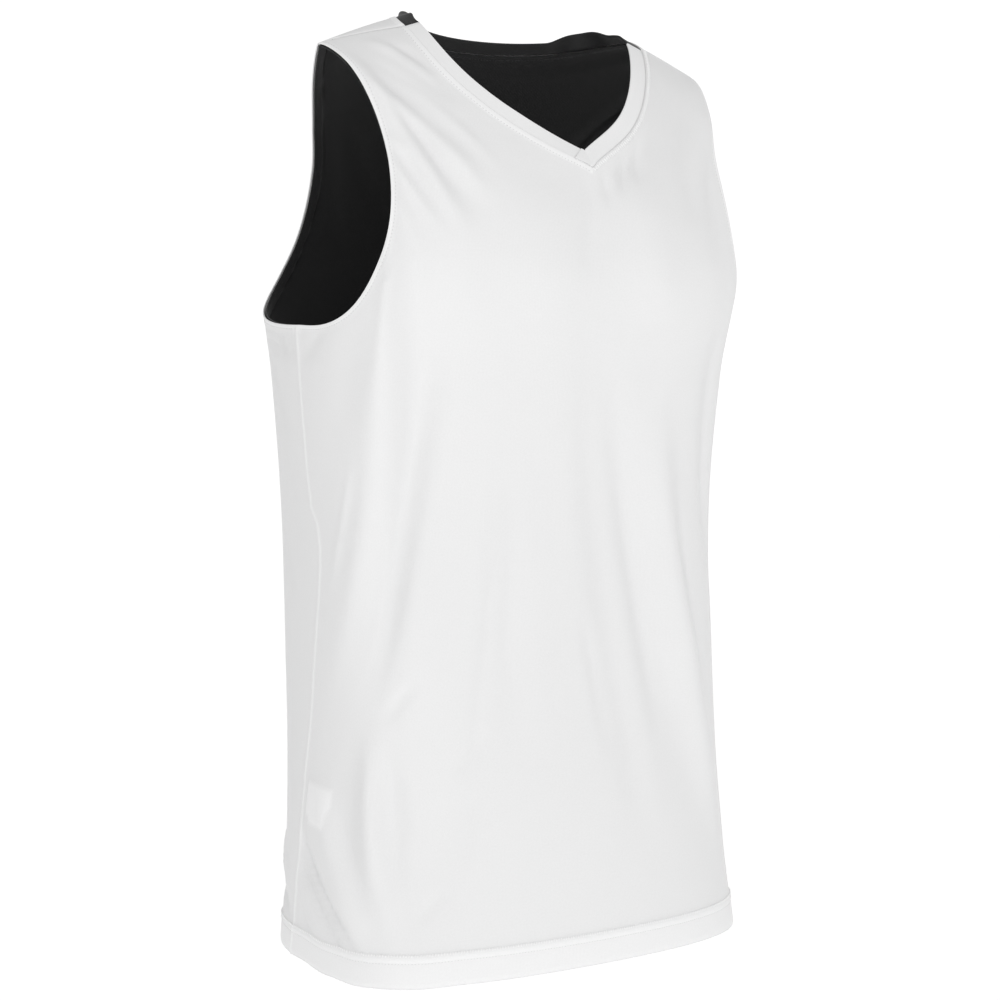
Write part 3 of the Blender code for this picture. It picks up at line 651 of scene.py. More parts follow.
def panel_grid(side, at_back, hem_lift, step):
    """Cloth coordinates of a half panel: rows from the hem up, columns from the centre out."""
    hem = HEM_ROWS + hem_lift
    top = NECK_BACK[0][1] if at_back else V_POINT[1]
    middle = even(hem[-1], TRUNK_TOP, step)
    trunk = np.linspace(hem[-1], UNDERARM, len(middle) + 1)[1:]
    breast = np.concatenate([even(TRUNK_TOP, top - EDGE_STEPS[-1], step), top - EDGE_STEPS[-2::-1]])
    strap = even(0.0, 1.0, step / STRAP_RUN)
    ups = np.concatenate([hem, middle, breast])
    seam_ups = np.concatenate([hem, trunk])
    share = ARMHOLE_SHARE_BACK if at_back else ARMHOLE_SHARE_FRONT
    climb = np.concatenate([np.linspace(0.0, share, len(breast) + 1)[1:],
                            share + (1.0 - share) * strap])
    if at_back:
        centre = np.stack([np.zeros_like(ups), ROUND - ups], axis=-1)
        inner = np.concatenate([centre, neck_seam_back(side, strap)])
    else:
        centre = np.stack([V_POINT[0] * smooth(ups / V_POINT[1]), ups], axis=-1)
        inner = np.concatenate([centre, neck_seam_front(side, strap)])
    outer = np.concatenate([side_seam(side, at_back, seam_ups), armhole(side, at_back, climb)])

    width = np.hypot(*((outer - inner) * np.array([ACROSS_MM, 1.0])).T)[:, None]
    inner_steps = np.broadcast_to(EDGE_STEPS, (len(width), len(EDGE_STEPS)))
    wide = np.median(width) - 2.0 * EDGE_STEPS[-1]
    between = np.linspace(0.0, 1.0, int(round(wide / step)) + 1)[None, 1:-1]
    between = EDGE_STEPS[-1] + between * (width - 2.0 * EDGE_STEPS[-1])
    shares = np.concatenate([inner_steps, between, width - EDGE_STEPS[None, ::-1]], axis=1) / width
    grid = inner[:, None] + (outer - inner)[:, None] * shares[..., None]
    return grid, len(ups)


# %% A sheet of cloth from its grid
def add_object(name, data):
    """A new object in the scene."""
    obj = bpy.data.objects.new(name, data)
    bpy.context.scene.collection.objects.link(obj)
    return obj


def cloth_object(name, points, faces, uv, masks, finish):
    """A mesh object in metres with the cloth's own coordinates as its UV map."""
    mesh = bpy.data.meshes.new(name)
    mesh.from_pydata([tuple(p) for p in to_world(points)], [], faces)
    layer = mesh.uv_layers.new(name="cloth")
    corners = np.zeros(len(mesh.loops), int)
    mesh.loops.foreach_get("vertex_index", corners)
    layer.data.foreach_set("uv", (np.asarray(uv)[corners] * MM).astype(np.float32).ravel())
    for mask, values in masks.items():
        attribute = mesh.attributes.new(mask, "FLOAT", "POINT")
        attribute.data.foreach_set("value", np.asarray(values, np.float32))
    mesh.update()
    mesh.shade_smooth()
    mesh.materials.append(finish)
    return add_object(name, mesh)


def make_panel(name, at_back, is_lining, finish, step):
    """A front or back ply: two half panels that share the centre line below the neck."""
    points, faces, places = [], [], {}
    for side in (-1, 1):
        grid, centre_rows = panel_grid(side, at_back, LINING_LIFT if is_lining else 0.0, step)
        rows, columns = grid.shape[:2]
        for row in range(rows):
            for column in range(columns):
                key = (row,) if column == 0 and row < centre_rows else (side, row, column)
                if key not in places:
                    places[key] = len(points)
                    points.append(grid[row, column])
                places[(side, row, column)] = places[key]
        for row in range(rows - 1):
            for column in range(columns - 1):
                corners = [(row, column), (row, column + 1), (row + 1, column + 1), (row + 1, column)]
                if (side > 0) == at_back:
                    corners.reverse()
                faces.append([places[(side, *corner)] for corner in corners])
    cloth = np.array(points)
    lift, doubled, creased = sewn_relief(cloth[:, 0], cloth[:, 1], is_lining)
    out = -PLY_GAP - PLY - lift if is_lining else PLY + lift
    surface = cloth_point(cloth[:, 0], cloth[:, 1], out, creased)
    uv = cloth * np.array([ACROSS_MM, 1.0])
    obj = cloth_object(name, surface, faces, uv, {"doubled": doubled}, finish)
    wall = obj.modifiers.new("wall", "SOLIDIFY")
    wall.thickness = PLY * MM
    wall.offset = 1.0 if is_lining else -1.0
    print(name, len(cloth), "points,", 2 * len(faces), "triangles a side")
    return obj


# %% [markdown]
# ## Knit finishes
#
# Jersey knit is rows of small loops: up close it has fine upright wales and level courses, and
# from a step away a soft, slightly uneven matt face.  Both plies use one recipe, in the cloth's
# own coordinates so that the loops follow the folds.  The white ply is thin, so the black one
# behind it greys it a little; where the cloth is turned double, at the hem, seams and edges, it
# is a clearer white.  Small expressions on sockets keep the recipe readable.

# %% Sockets that take arithmetic
def add_node(tree, kind, settings, values):
    """Add a node to any tree: its settings first, then the numbers or links of its sockets."""
    made = tree.nodes.new(kind)
    for setting, value in settings.items():
        setattr(made, setting, value)
    for key, value in values.items():
        if isinstance(value, bpy.types.NodeSocket):
            tree.links.new(value, made.inputs[key])
        else:
            made.inputs[key].default_value = value
    return made


class Wire:
    """A socket of a finish that adds Math nodes when it is used in an expression."""

    def __init__(self, finish, socket):
        self.finish = finish
        self.socket = socket

    def math(self, operation, *values):
        """A Math node over some values."""
        return self.finish.node("ShaderNodeMath", {"operation": operation}, dict(enumerate(values)))

    def sine(self):
        """The sine of this value."""
        return self.math("SINE", self)

    def __add__(self, other):
        return self.math("ADD", self, other)

    def __sub__(self, other):
        return self.math("SUBTRACT", self, other)

    def __mul__(self, other):
        return self.math("MULTIPLY", self, other)

    __radd__ = __add__


class Finish:
    """A material with one Principled shader, and a method that adds any node to it."""

    def __init__(self, name, roughness, sheen):
        self.material = bpy.data.materials.new(name)
        self.material.use_nodes = True
        self.tree = self.material.node_tree
        self.shader = self.tree.nodes["Principled BSDF"]
        self.shader.inputs["Roughness"].default_value = roughness
        self.shader.inputs["Sheen Weight"].default_value = sheen
        self.shader.inputs["Sheen Roughness"].default_value = 0.45
        self.shader.inputs["Specular IOR Level"].default_value = 0.25

    def node(self, kind, settings, values, output=0):
        """Any node, as a value that takes arithmetic."""
        plain = {key: value.socket if isinstance(value, Wire) else value for key, value in values.items()}
        return Wire(self, add_node(self.tree, kind, settings, plain).outputs[output])

    def feed(self, socket, wire):
        """Link a value to one of the shader's sockets."""
        self.tree.links.new(wire.socket, self.shader.inputs[socket])


def blend_colour(finish, share, first, second):
    """A colour between two others."""
    return finish.node("ShaderNodeMix", {"data_type": "RGBA"},
                       {"Factor": share, 6: (*first, 1.0), 7: (*second, 1.0)}, output=2)


# %% The loops of the knit
# Spacing of the wales and of the courses of loops, in millimetres
WALE = 1.05
COURSE = 0.80


def knit_height(finish):
    """Height of the knit's loops over the cloth, from 0 to 1, and its slow unevenness."""
    cloth = finish.node("ShaderNodeUVMap", {"uv_map": "cloth"}, {})
    uneven = finish.node("ShaderNodeTexNoise", {},
                         {"Vector": cloth, "Scale": 45.0, "Detail": 3.0, "Roughness": 0.55}, output="Fac")
    grain = finish.node("ShaderNodeTexNoise", {},
                        {"Vector": cloth, "Scale": 620.0, "Detail": 2.0, "Roughness": 0.6}, output="Fac")
    parts = add_node(finish.tree, "ShaderNodeSeparateXYZ", {}, {"Vector": cloth.socket}).outputs
    across, along = Wire(finish, parts["X"]), Wire(finish, parts["Y"])
    wale = (across * (2.0 * math.pi / (WALE * MM))).sine()
    course = (along * (2.0 * math.pi / (COURSE * MM)) + wale * 0.9).sine()
    loops = 0.5 + wale * 0.26 + course * 0.20
    return loops, grain, uneven


def knit_finish(name, single, doubled, roughness, sheen, depth, grain_depth, grain_share, loop_share):
    """A knit whose colour turns whiter where the cloth is doubled and darker where shade is painted."""
    finish = Finish(name, roughness, sheen)
    loops, grain, uneven = knit_height(finish)
    over = finish.node("ShaderNodeAttribute", {"attribute_name": "doubled"}, {}, output="Fac")
    tone = blend_colour(finish, over, single, doubled)
    shade = 1.0 + (uneven - 0.5) * 0.012 + (grain - 0.5) * grain_share + (loops - 0.5) * loop_share
    tinted = finish.node("ShaderNodeVectorMath", {"operation": "SCALE"}, {0: tone, "Scale": shade})
    finish.feed("Base Color", tinted)
    height = loops * depth + grain * grain_depth
    bump = finish.node("ShaderNodeBump", {}, {"Height": height, "Strength": 1.0, "Distance": MM})
    finish.feed("Normal", bump)
    return finish.material


# Columns: colours of the single and the doubled cloth, roughness, sheen, depths of the loops and the
# grain in millimetres, and the shares by which the grain and the loops change the tone
KNITS = {
    "white_knit_cloth":
        ((0.788, 0.788, 0.789), (0.862, 0.862, 0.863), 0.62, 0.12, 0.020, 0.06, 0.07, 0.04),
    "black_knit_cloth":
        ((0.012, 0.012, 0.0124), (0.014, 0.014, 0.0145), 0.66, 0.10, 0.060, 0.16, 0.60, 0.50),
    "white_neckband_cloth":
        ((0.850, 0.850, 0.851), (0.885, 0.885, 0.886), 0.58, 0.12, 0.020, 0.05, 0.06, 0.05),
    "black_neckband_cloth":
        ((0.013, 0.013, 0.0134), (0.017, 0.017, 0.0175), 0.64, 0.12, 0.050, 0.12, 0.50, 0.40),
}
WHITE_KNIT, BLACK_KNIT, WHITE_BAND, BLACK_BAND = [
    knit_finish(name, *values) for name, values in KNITS.items()]
print("finishes", [m.name for m in bpy.data.materials])

# %% The four panels
front = make_panel("front_cloth", False, False, WHITE_KNIT, FRONT_STEP)
back = make_panel("back_cloth", True, False, WHITE_KNIT, BACK_STEP)
front_lining = make_panel("front_lining_cloth", False, True, BLACK_KNIT, LINING_STEP)
back_lining = make_panel("back_lining_cloth", True, True, BLACK_KNIT, LINING_STEP)

# %% [markdown]
# ## Neckband
#
# The neckband is a strip of the same knit, folded lengthways and sewn on by its raw edges, so its
# free edge is a round fold and its sewn edge is pinched.  It is a closed loop section carried
# along the neck seam.  At the front it lies nearly in the slope of the chest, and behind the
# shoulders it stands up where a neck would press it.  The white front legs meet in a V, where the
# left one laps over the right one with a slanting end, and the back of the band is black.

# %% Sizes of the neckband, in millimetres and degrees
BAND_WIDTH = 14.3
BAND_PLY = 2.0
BAND_TUCK = 1.2
# Columns: place, from 0 at the V over 1 at the shoulder seam to 2 behind; how steeply it stands up
BAND_STAND = np.array([(0.00, -20.0), (0.30, -7.0), (0.65, -5.0), (1.28, 0.0), (1.50, 52.0),
                       (1.70, -4.0), (2.00, -5.0)])
BAND_PINCH = 0.15
PINCH_REACH = 1.8
FOLD_BUNCHING = 1.6
EDGE_WHITER = 2.5
MITRE_TUCK = 0.4
LAP_PAST_V = 2.4
LAP_SLANT = 4.5
LAP_PLY = 1.0
LAP_RISE = 12.0
LAP_GAP = 0.1
PLACES = 240
SECTION_STEPS = 12
RIGHT_LEG_STEPS = 110
LEFT_LEG_STEPS = 130
LAP_STEPS = 14


# %% The loop section of the folded band
def band_section(count):
    """Places round the folded band: the share of its width, and which side of the middle."""
    t = np.linspace(0.0, 1.0, count)
    reach = 1.0 - (1.0 - t) ** FOLD_BUNCHING
    return (np.concatenate([reach, reach[-2:0:-1]]),
            np.concatenate([np.ones(count - 1), [0.0], -np.ones(count - 2)]))


def band_rails(out, half):
    """Closed sections of the band at places all round the neck, in millimetres."""
    share = np.linspace(0.0, 1.0, PLACES + 1)
    quarters = [neck_seam_front(1, share), neck_seam_back(1, share)[::-1],
                neck_seam_back(-1, share), neck_seam_front(-1, share)[::-1]]
    seam = np.concatenate([quarters[0]] + [quarter[1:] for quarter in quarters[1:]])
    base = cloth_point(seam[:, 0], seam[:, 1], creased=0.0)
    _, normal, _, _ = body_frame(seam[:, 0], seam[:, 1])
    run = np.gradient(base, axis=0)
    run /= np.linalg.norm(run, axis=1, keepdims=True)
    inward = np.cross(normal, run)
    inward /= np.linalg.norm(inward, axis=1, keepdims=True)
    quarter = np.arange(len(seam)) / PLACES
    stand = np.radians(eased(BAND_STAND, np.minimum(quarter, 4.0 - quarter)))[:, None]
    rise = inward * np.cos(stand) + normal * np.sin(stand)
    face = normal * np.cos(stand) - inward * np.sin(stand)

    width_share, which = band_section(SECTION_STEPS)
    reach = -BAND_TUCK + (BAND_WIDTH + BAND_TUCK) * width_share
    nose = np.clip((reach - BAND_WIDTH + BAND_PLY / 2.0) / (BAND_PLY / 2.0), 0.0, 1.0)
    pinch = 1.0 - BAND_PINCH * near(np.maximum(reach, 0.0), PINCH_REACH)
    full = which * np.sqrt(1.0 - nose ** 2) * pinch
    points = (base + normal * out)[:, None] + rise[:, None] * reach[:, None]
    points = points + face[:, None] * (full[None, :] * half)[..., None]
    return points, reach


def crossing(rail, plane, side):
    """The place where a rail leaves the V's upright plane towards one side."""
    beyond = side * (rail[:, 0] - plane)
    first = int(np.argmax(beyond >= 0.0))
    return 0.0 if first == 0 else first - beyond[first] / (beyond[first] - beyond[first - 1])


def mitred(rails, plane, side, last, steps):
    """Sections of a front leg from the V's plane to a place along each of its rails."""
    sections = []
    last = np.broadcast_to(last, rails.shape[1])
    for column in range(rails.shape[1]):
        rail = rails[:PLACES + 1, column]
        places = np.linspace(crossing(rail, plane, side), last[column], steps + 1)
        sections.append([[np.interp(place, np.arange(len(rail)), rail[:, k]) for k in range(3)]
                         for place in places])
    return np.array(sections).transpose(1, 0, 2)


# %% The three pieces of the band
def band_piece(name, sections, reach, finish):
    """A neckband piece from closed sections, with both ends filled."""
    count, ring = sections.shape[:2]
    faces = []
    for row in range(count - 1):
        for column in range(ring):
            across = (column + 1) % ring
            faces.append([row * ring + column, row * ring + across,
                          (row + 1) * ring + across, (row + 1) * ring + column])
    faces.append(list(range(ring))[::-1])
    faces.append([(count - 1) * ring + column for column in range(ring)])
    run = np.linalg.norm(np.diff(sections.mean(axis=1), axis=0), axis=1)
    along = np.concatenate([[0.0], np.cumsum(run)])
    uv = np.stack(np.broadcast_arrays(along[:, None], reach[None, :]), axis=-1).reshape(-1, 2)
    edge = smooth((np.tile(reach, count) - BAND_WIDTH + EDGE_WHITER) / 2.0)
    points = sections.reshape(-1, 3)
    centre = points.mean(axis=0)
    # Two points that face each other across the fold tell which way round the ring runs
    middle = sections[count // 2]
    top, bottom = middle[3], middle[-3]
    ahead = sections[count // 2 + 1].mean(axis=0) - middle.mean(axis=0)
    if np.dot(np.cross(middle[4] - middle[3], ahead), top - bottom) < 0.0:
        faces = [face[::-1] for face in faces]
    obj = cloth_object(name, points, faces, uv, {"doubled": edge}, finish)
    print(name, round(float(along[-1])), "mm long,", len(faces), "faces, centred at", centre.round())
    return obj


flat_rails, BAND_REACH = band_rails(-0.5 * PLY_GAP, BAND_PLY / 2.0)
raised_by = BAND_PLY / 2.0 + LAP_GAP + LAP_PLY / 2.0
thin_rails, _ = band_rails(raised_by - 0.5 * PLY_GAP, LAP_PLY / 2.0)
v_x = float(cloth_point(*V_POINT, creased=0.0)[0])
right_leg = mitred(flat_rails[::-1], v_x - MITRE_TUCK, -1, PLACES, RIGHT_LEG_STEPS)

# The left leg lies flat, and climbs towards the V until it is on top of the right one
left_leg = mitred(flat_rails, v_x, 1, PLACES, LEFT_LEG_STEPS)
left_raised = mitred(thin_rails, v_x, 1, PLACES, LEFT_LEG_STEPS)
from_v = np.linalg.norm(left_leg - left_leg[0], axis=2)
on_top = (1.0 - smooth(from_v / LAP_RISE))[..., None]
left_leg = left_leg * (1.0 - on_top) + left_raised * on_top

# Past the V it goes on over the right leg, to an end that slants back from the fold
over = thin_rails[::-1]
fold = int(np.argmax(BAND_REACH))
fold_step = np.linalg.norm(np.diff(over[:PLACES + 1, fold], axis=0), axis=1).mean()
lap_end = crossing(over[:, fold], v_x, -1) + LAP_PAST_V / fold_step
lap_end = lap_end + LAP_SLANT / fold_step * (1.0 - BAND_REACH / BAND_WIDTH)
lap = mitred(over, v_x, -1, lap_end, LAP_STEPS)
left_leg = np.concatenate([lap[:0:-1], left_leg])

collar_right = band_piece("neckband_right", right_leg, BAND_REACH, WHITE_BAND)
collar_left = band_piece("neckband_left", left_leg, BAND_REACH, WHITE_BAND)
collar_back = band_piece("neckband_back", flat_rails[PLACES:3 * PLACES + 1:2], BAND_REACH, BLACK_BAND)

# %% [markdown]
# ## Stitches
#
# The stitches are the smallest real parts of the jersey, and there are about two thousand of
# them, so nobody places them one by one.  A Geometry Nodes tree takes a line that lies on the
# cloth, spaces points along it and stands one grain-shaped stitch on each, turned to the line and
# to the cloth's face.  A turned stitch shows as a tooth of the cover seam, a straight one as a
# dash, and turns that change from stitch to stitch make a zigzag.  A straight row lies sunk in the
# white cloth, in shade, so its white thread is painted grey as shade and is greyer than the teeth.

# %% The stitch tree
# Sizes in millimetres, angles in degrees; `above` is how high the stitches' middle lies on the cloth
STITCH_COLUMNS = ("Spacing", "Length", "Width", "Height", "Turn", "Zigzag", "above")


def stitch_tree():
    """Stitches along a line: dashes, teeth or a zigzag, lying on the cloth."""
    tree = bpy.data.node_groups.new("stitches", "GeometryNodeTree")
    sockets = [("Geometry", "Geometry")]
    sockets += [(name, "Float") for name in STITCH_COLUMNS[:-1]]
    sockets += [("Material", "Material")]
    for name, kind in sockets:
        tree.interface.new_socket(name, in_out="INPUT", socket_type="NodeSocket" + kind)
    tree.interface.new_socket("Geometry", in_out="OUTPUT", socket_type="NodeSocketGeometry")

    def node(kind, settings=None, **links):
        """A node whose sockets are named with underscores for spaces."""
        values = {key.replace("_", " "): value for key, value in links.items()}
        return add_node(tree, kind, settings or {}, values)

    def maths(operation, *values):
        """A Math node over some values."""
        settings = {"operation": operation}
        return add_node(tree, "ShaderNodeMath", settings, dict(enumerate(values))).outputs[0]

    given = node("NodeGroupInput").outputs
    line = node("GeometryNodeMeshToCurve", Mesh=given["Geometry"])
    spots = node("GeometryNodeCurveToPoints", {"mode": "LENGTH"}, Curve=line.outputs["Curve"],
                 Length=given["Spacing"])
    up = node("GeometryNodeInputNamedAttribute", {"data_type": "FLOAT_VECTOR"}, Name="up")
    facing = node("FunctionNodeAxesToRotation", {"primary_axis": "Z", "secondary_axis": "X"},
                  Primary_Axis=up.outputs["Attribute"], Secondary_Axis=spots.outputs["Tangent"])
    odd = maths("MODULO", node("GeometryNodeInputIndex").outputs[0], 2.0)
    swing = maths("MULTIPLY_ADD", odd, -2.0, 1.0)
    swung = maths("MULTIPLY_ADD", swing, given["Zigzag"], given["Turn"])
    turn = node("FunctionNodeAxisAngleToRotation", Axis=(0.0, 0.0, 1.0), Angle=swung)
    turned = node("FunctionNodeRotateRotation", {"rotation_space": "LOCAL"},
                  Rotation=facing.outputs[0], Rotate_By=turn.outputs[0])
    size = node("ShaderNodeCombineXYZ", X=given["Length"], Y=given["Width"], Z=given["Height"])
    grain = node("GeometryNodeMeshUVSphere", Segments=6, Rings=4, Radius=0.5)
    set_down = node("GeometryNodeInstanceOnPoints", Points=spots.outputs["Points"],
                    Instance=grain.outputs["Mesh"], Rotation=turned.outputs[0], Scale=size.outputs[0])
    real = node("GeometryNodeRealizeInstances", Geometry=set_down.outputs[0])
    soft = node("GeometryNodeSetShadeSmooth", Geometry=real.outputs[0])
    dressed = node("GeometryNodeSetMaterial", Geometry=soft.outputs[0], Material=given["Material"])
    node("NodeGroupOutput", Geometry=dressed.outputs[0])
    return tree


STITCHES = stitch_tree()
STITCH_KINDS = {
    "hem_teeth": (2.3, 3.0, 1.10, 0.90, 84.0, 0.0, 0.12),
    "hem_dashes": (2.6, 1.1, 0.46, 0.40, 0.0, 0.0, 0.05),
    "lining_hem_stitches": (2.9, 2.2, 0.55, 0.42, 0.0, 0.0, 0.05),
    "armhole_dashes": (2.9, 1.5, 0.65, 0.50, 0.0, 0.0, 0.05),
    "neck_dashes": (2.9, 1.5, 0.65, 0.60, 0.0, 0.0, 0.1),
    "neck_teeth": (2.4, 5.0, 0.95, 0.90, 90.0, 12.0, 0.1),
    "back_neck_stitches": (2.9, 2.1, 0.65, 0.60, 0.0, 0.0, 0.1),
    "back_neck_outer_stitches": (2.9, 2.1, 0.65, 0.60, 0.0, 0.0, 0.1),
}


# %% Lines on the cloth for the stitches to follow
def on_cloth(path, is_lining=False, above=0.0):
    """Points in millimetres on the face of the cloth along a path, and its outward directions."""
    across, along = path[:, 0], path[:, 1]
    lift, _, creased = sewn_relief(across, along, is_lining)
    _, normal, _, _ = body_frame(across, along)
    out = -PLY_GAP - PLY - lift - above if is_lining else PLY + lift + above
    return cloth_point(across, along, out, creased), -normal if is_lining else normal


def stepped(path, distance):
    """A path moved sideways over the cloth, in millimetres, to its left as seen from outside."""
    point, normal, to_side, onward = body_frame(path[:, 0], path[:, 1])
    aside = np.cross(normal, np.gradient(point, axis=0))
    aside *= distance / np.linalg.norm(aside, axis=1, keepdims=True)
    grid = np.stack([to_side, onward, normal], axis=-1)
    return path + np.linalg.solve(grid, aside[..., None])[:, :2, 0]


def sew(kind, path, thread, is_lining=False):
    """A row of stitches along a path in cloth coordinates."""
    sizes = dict(zip(STITCH_COLUMNS, STITCH_KINDS[kind]))
    points, ups = on_cloth(path, is_lining, sizes.pop("above"))
    mesh = bpy.data.meshes.new(kind + "_line")
    mesh.from_pydata([tuple(p) for p in to_world(points)], [(k, k + 1) for k in range(len(points) - 1)], [])
    attribute = mesh.attributes.new("up", "FLOAT_VECTOR", "POINT")
    attribute.data.foreach_set("vector", np.asarray(ups, np.float32).ravel())
    line = add_object(kind + "_line", mesh)
    rows = line.modifiers.new("stitches", "NODES")
    rows.node_group = STITCHES
    values = {name: math.radians(size) if name in ("Turn", "Zigzag") else size * MM
              for name, size in sizes.items()}
    values["Material"] = thread
    for item in STITCHES.interface.items_tree:
        if item.in_out == "INPUT" and item.name in values:
            rows[item.identifier] = values[item.name]
    graph = bpy.context.evaluated_depsgraph_get()
    sewn = bpy.data.meshes.new_from_object(line.evaluated_get(graph), depsgraph=graph)
    bpy.data.objects.remove(line, do_unlink=True)
    print(kind, len(sewn.polygons), "faces")
    return add_object(kind, sewn)


def joined(name, objects):
    """Several rows as one object."""
    with bpy.context.temp_override(active_object=objects[0], selected_editable_objects=objects):
        bpy.ops.object.join()
    objects[0].name = name
    return objects[0]


def thread_finish(name, colour, roughness):
    """Plain thread with a faint twist."""
    finish = Finish(name, roughness, 0.2)
    place = finish.node("ShaderNodeTexCoord", {}, {}, output="Object")
    fibre = finish.node("ShaderNodeTexNoise", {}, {"Vector": place, "Scale": 900.0, "Detail": 1.0},
                        output="Fac")
    dark = tuple(0.9 * channel for channel in colour)
    finish.feed("Base Color", blend_colour(finish, fibre, dark, colour))
    return finish.material


WHITE_THREAD = thread_finish("white_thread", (0.93, 0.93, 0.93), 0.5)
# The straight rows' white thread is painted grey: painted shade where it lies sunk in the cloth
PAINTED_SHADE_THREAD = thread_finish("painted_shade_white_thread", (0.70, 0.70, 0.70), 0.6)
BLACK_THREAD = thread_finish("black_thread", (0.022, 0.022, 0.023), 0.5)

# %% Rows round the hem
hem_teeth = sew("hem_teeth", level_ring(HEM_ROW_HIGH - 0.9), WHITE_THREAD)
hem_dashes = sew("hem_dashes", level_ring(HEM_ROW_LOW - 0.2), PAINTED_SHADE_THREAD)
hem_stitches = joined("hem_stitches", [hem_teeth, hem_dashes])
lining_hem_stitches = sew("lining_hem_stitches", level_ring(HEM_ROW_LOW + LINING_LIFT), BLACK_THREAD,
                          is_lining=True)

# %% Rows round the armholes
armhole_rows = [sew("armhole_dashes", stepped(ring[::2], side * ARMHOLE_ROW), PAINTED_SHADE_THREAD)
                for side, ring in ARMHOLE_RINGS.items()]
armhole_stitches = joined("armhole_stitches", armhole_rows)

# %% The cover seam under the neckband
# Its row shows as dashes below the right leg and as teeth below the left one.
ROW_SHARES = np.linspace(0.004, 0.99, 161)
dashes = sew("neck_dashes", stepped(neck_seam_front(-1, ROW_SHARES), NECK_STRIP + 0.2), PAINTED_SHADE_THREAD)
teeth = sew("neck_teeth", stepped(neck_seam_front(1, ROW_SHARES), -0.62 * NECK_STRIP), WHITE_THREAD)
neck_stitches = joined("neck_stitches", [dashes, teeth])

# %% The rows behind the neck, seen from inside and outside
back_seam = np.concatenate([neck_seam_back(1, SHARES)[::-1][3:], neck_seam_back(-1, SHARES)[1:-3]])
back_row = stepped(back_seam, -NECK_STRIP)
back_neck_stitches = sew("back_neck_stitches", back_row, BLACK_THREAD, is_lining=True)
back_neck_outer = sew("back_neck_outer_stitches", back_row, WHITE_THREAD)

# %% [markdown]
# ## Stage, light and camera
#
# The jersey hangs in front of a white studio sweep, under a pale even sky and three large soft
# lights, so its folds show only as faint greys.  The floor lies well below the hem.  The camera
# looks at the wearer's right side of the front, from a little above the middle of the jersey.
# Its place and lens and the strengths of the lights are rounded results of such fits too.

# %% The sweep, in metres
CAMERA_TURN = math.radians(-33.4)
FLOOR = -1.45
SWEEP_BACK = 3.6
SWEEP_FRONT = 6.0
SWEEP_BEND = 1.2
SWEEP_WIDTH = 12.0
SWEEP_TOP = 6.5


def make_sweep():
    """A pale floor that curves up into a wall behind."""
    profile = [(-SWEEP_FRONT, 0.0)]
    profile += [(SWEEP_BACK - SWEEP_BEND * (1.0 - math.sin(a)), SWEEP_BEND * (1.0 - math.cos(a)))
                for a in np.linspace(0.0, math.pi / 2.0, 17)]
    profile.append((SWEEP_BACK, SWEEP_TOP))
    away = Vector((-math.sin(CAMERA_TURN), math.cos(CAMERA_TURN), 0.0))
    aside = Vector((away.y, -away.x, 0.0))
    points = [away * along + aside * (side * SWEEP_WIDTH / 2.0) + Vector((0.0, 0.0, FLOOR + up))
              for side in (-1, 1) for along, up in profile]
    count = len(profile)
    faces = [[k, k + count, k + count + 1, k + 1] for k in range(count - 1)]
    mesh = bpy.data.meshes.new("stage_sweep")
    mesh.from_pydata(points, [], faces)
    mesh.shade_smooth()
    paper = bpy.data.materials.new("stage_paper")
    paper.use_nodes = True
    shader = paper.node_tree.nodes["Principled BSDF"]
    shader.inputs["Base Color"].default_value = (0.90, 0.90, 0.90, 1.0)
    shader.inputs["Roughness"].default_value = 0.9
    shader.inputs["Emission Color"].default_value = (1.0, 1.0, 1.0, 1.0)
    shader.inputs["Emission Strength"].default_value = 0.33
    mesh.materials.append(paper)
    return add_object("stage_sweep", mesh)


sweep = make_sweep()


# %% Lights
LIGHT_AIM = Vector((0.0, 0.0, -0.38))
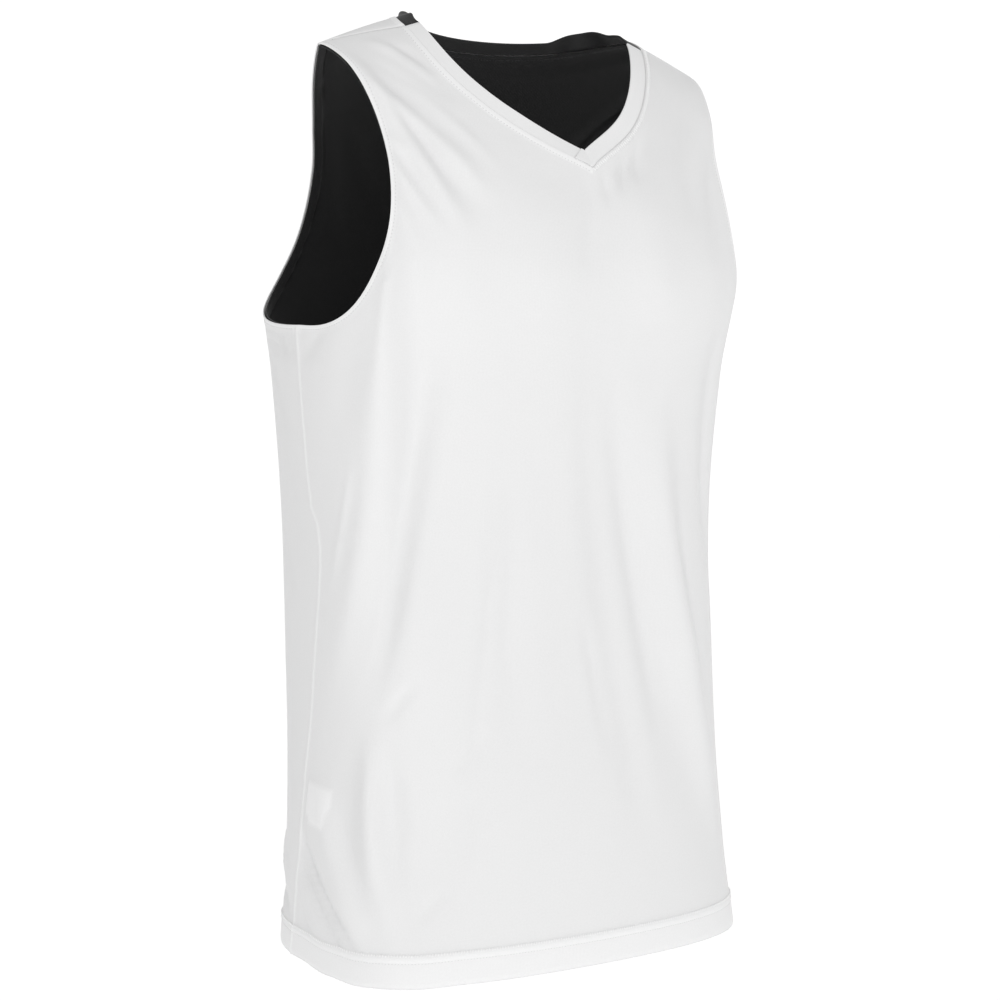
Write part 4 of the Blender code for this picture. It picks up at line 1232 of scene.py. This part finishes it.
# Place and size in metres, power in watts
LIGHTS = {
    "key": ((-1.8, -2.6, 0.6), 1.8, 26.0),
    "fill_right": ((1.2, -2.8, 0.4), 2.0, 8.0),
    "low": ((-0.8, -2.6, -1.0), 1.6, 3.6),
}
for name, (place, size, power) in LIGHTS.items():
    lamp = bpy.data.lights.new(name, "AREA")
    lamp.shape = "SQUARE"
    lamp.size = size
    lamp.energy = power
    light = add_object(name, lamp)
    light.location = place
    light.rotation_euler = (LIGHT_AIM - Vector(place)).to_track_quat("-Z", "Y").to_euler()
    print("light", name, power, "W")
world = bpy.data.worlds.new("studio")
world.use_nodes = True
world.node_tree.nodes["Background"].inputs["Color"].default_value = (1.0, 1.0, 1.0, 1.0)
world.node_tree.nodes["Background"].inputs["Strength"].default_value = 0.60
bpy.context.scene.world = world
bpy.context.scene.view_settings.view_transform = "Standard"

# %% Camera
CAMERA_PLACE = (-1.0622, -1.5888, -0.229)
CAMERA_TILT = math.radians(85.74)
SENSOR = 36.0
PIXELS = 1000.0
FOCAL_PIXELS = 2301.0
camera_data = bpy.data.cameras.new("camera")
camera_data.sensor_width = SENSOR
camera_data.lens = SENSOR * FOCAL_PIXELS / PIXELS
camera = add_object("camera", camera_data)
camera.location = CAMERA_PLACE
camera.rotation_euler = (CAMERA_TILT, 0.0, CAMERA_TURN)
bpy.context.scene.camera = camera
print("lens", round(camera_data.lens, 1), "mm")

# %% [markdown]
# ## Into the frame
#
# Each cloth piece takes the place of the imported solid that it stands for, and the stitches ride
# along.  A sheet's flat size is the worn panel with 15 mm of seam at each side, 10 mm at the
# shoulder and the 26 mm of hem turned up, and its area is the cloth that is left after the cut.

# %% Hand over to the frame
STANDS_FOR = {
    front: "front", back: "back", front_lining: "front_lining", back_lining: "back_lining",
    collar_right: "collar_front_right", collar_left: "collar_front_left", collar_back: "collar_back",
}
for piece, node in STANDS_FOR.items():
    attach(piece, "root")
    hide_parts(node)
for piece in (hem_stitches, armhole_stitches, neck_stitches, back_neck_outer):
    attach(piece, "root")
for piece in (lining_hem_stitches, back_neck_stitches):
    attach(piece, "root")
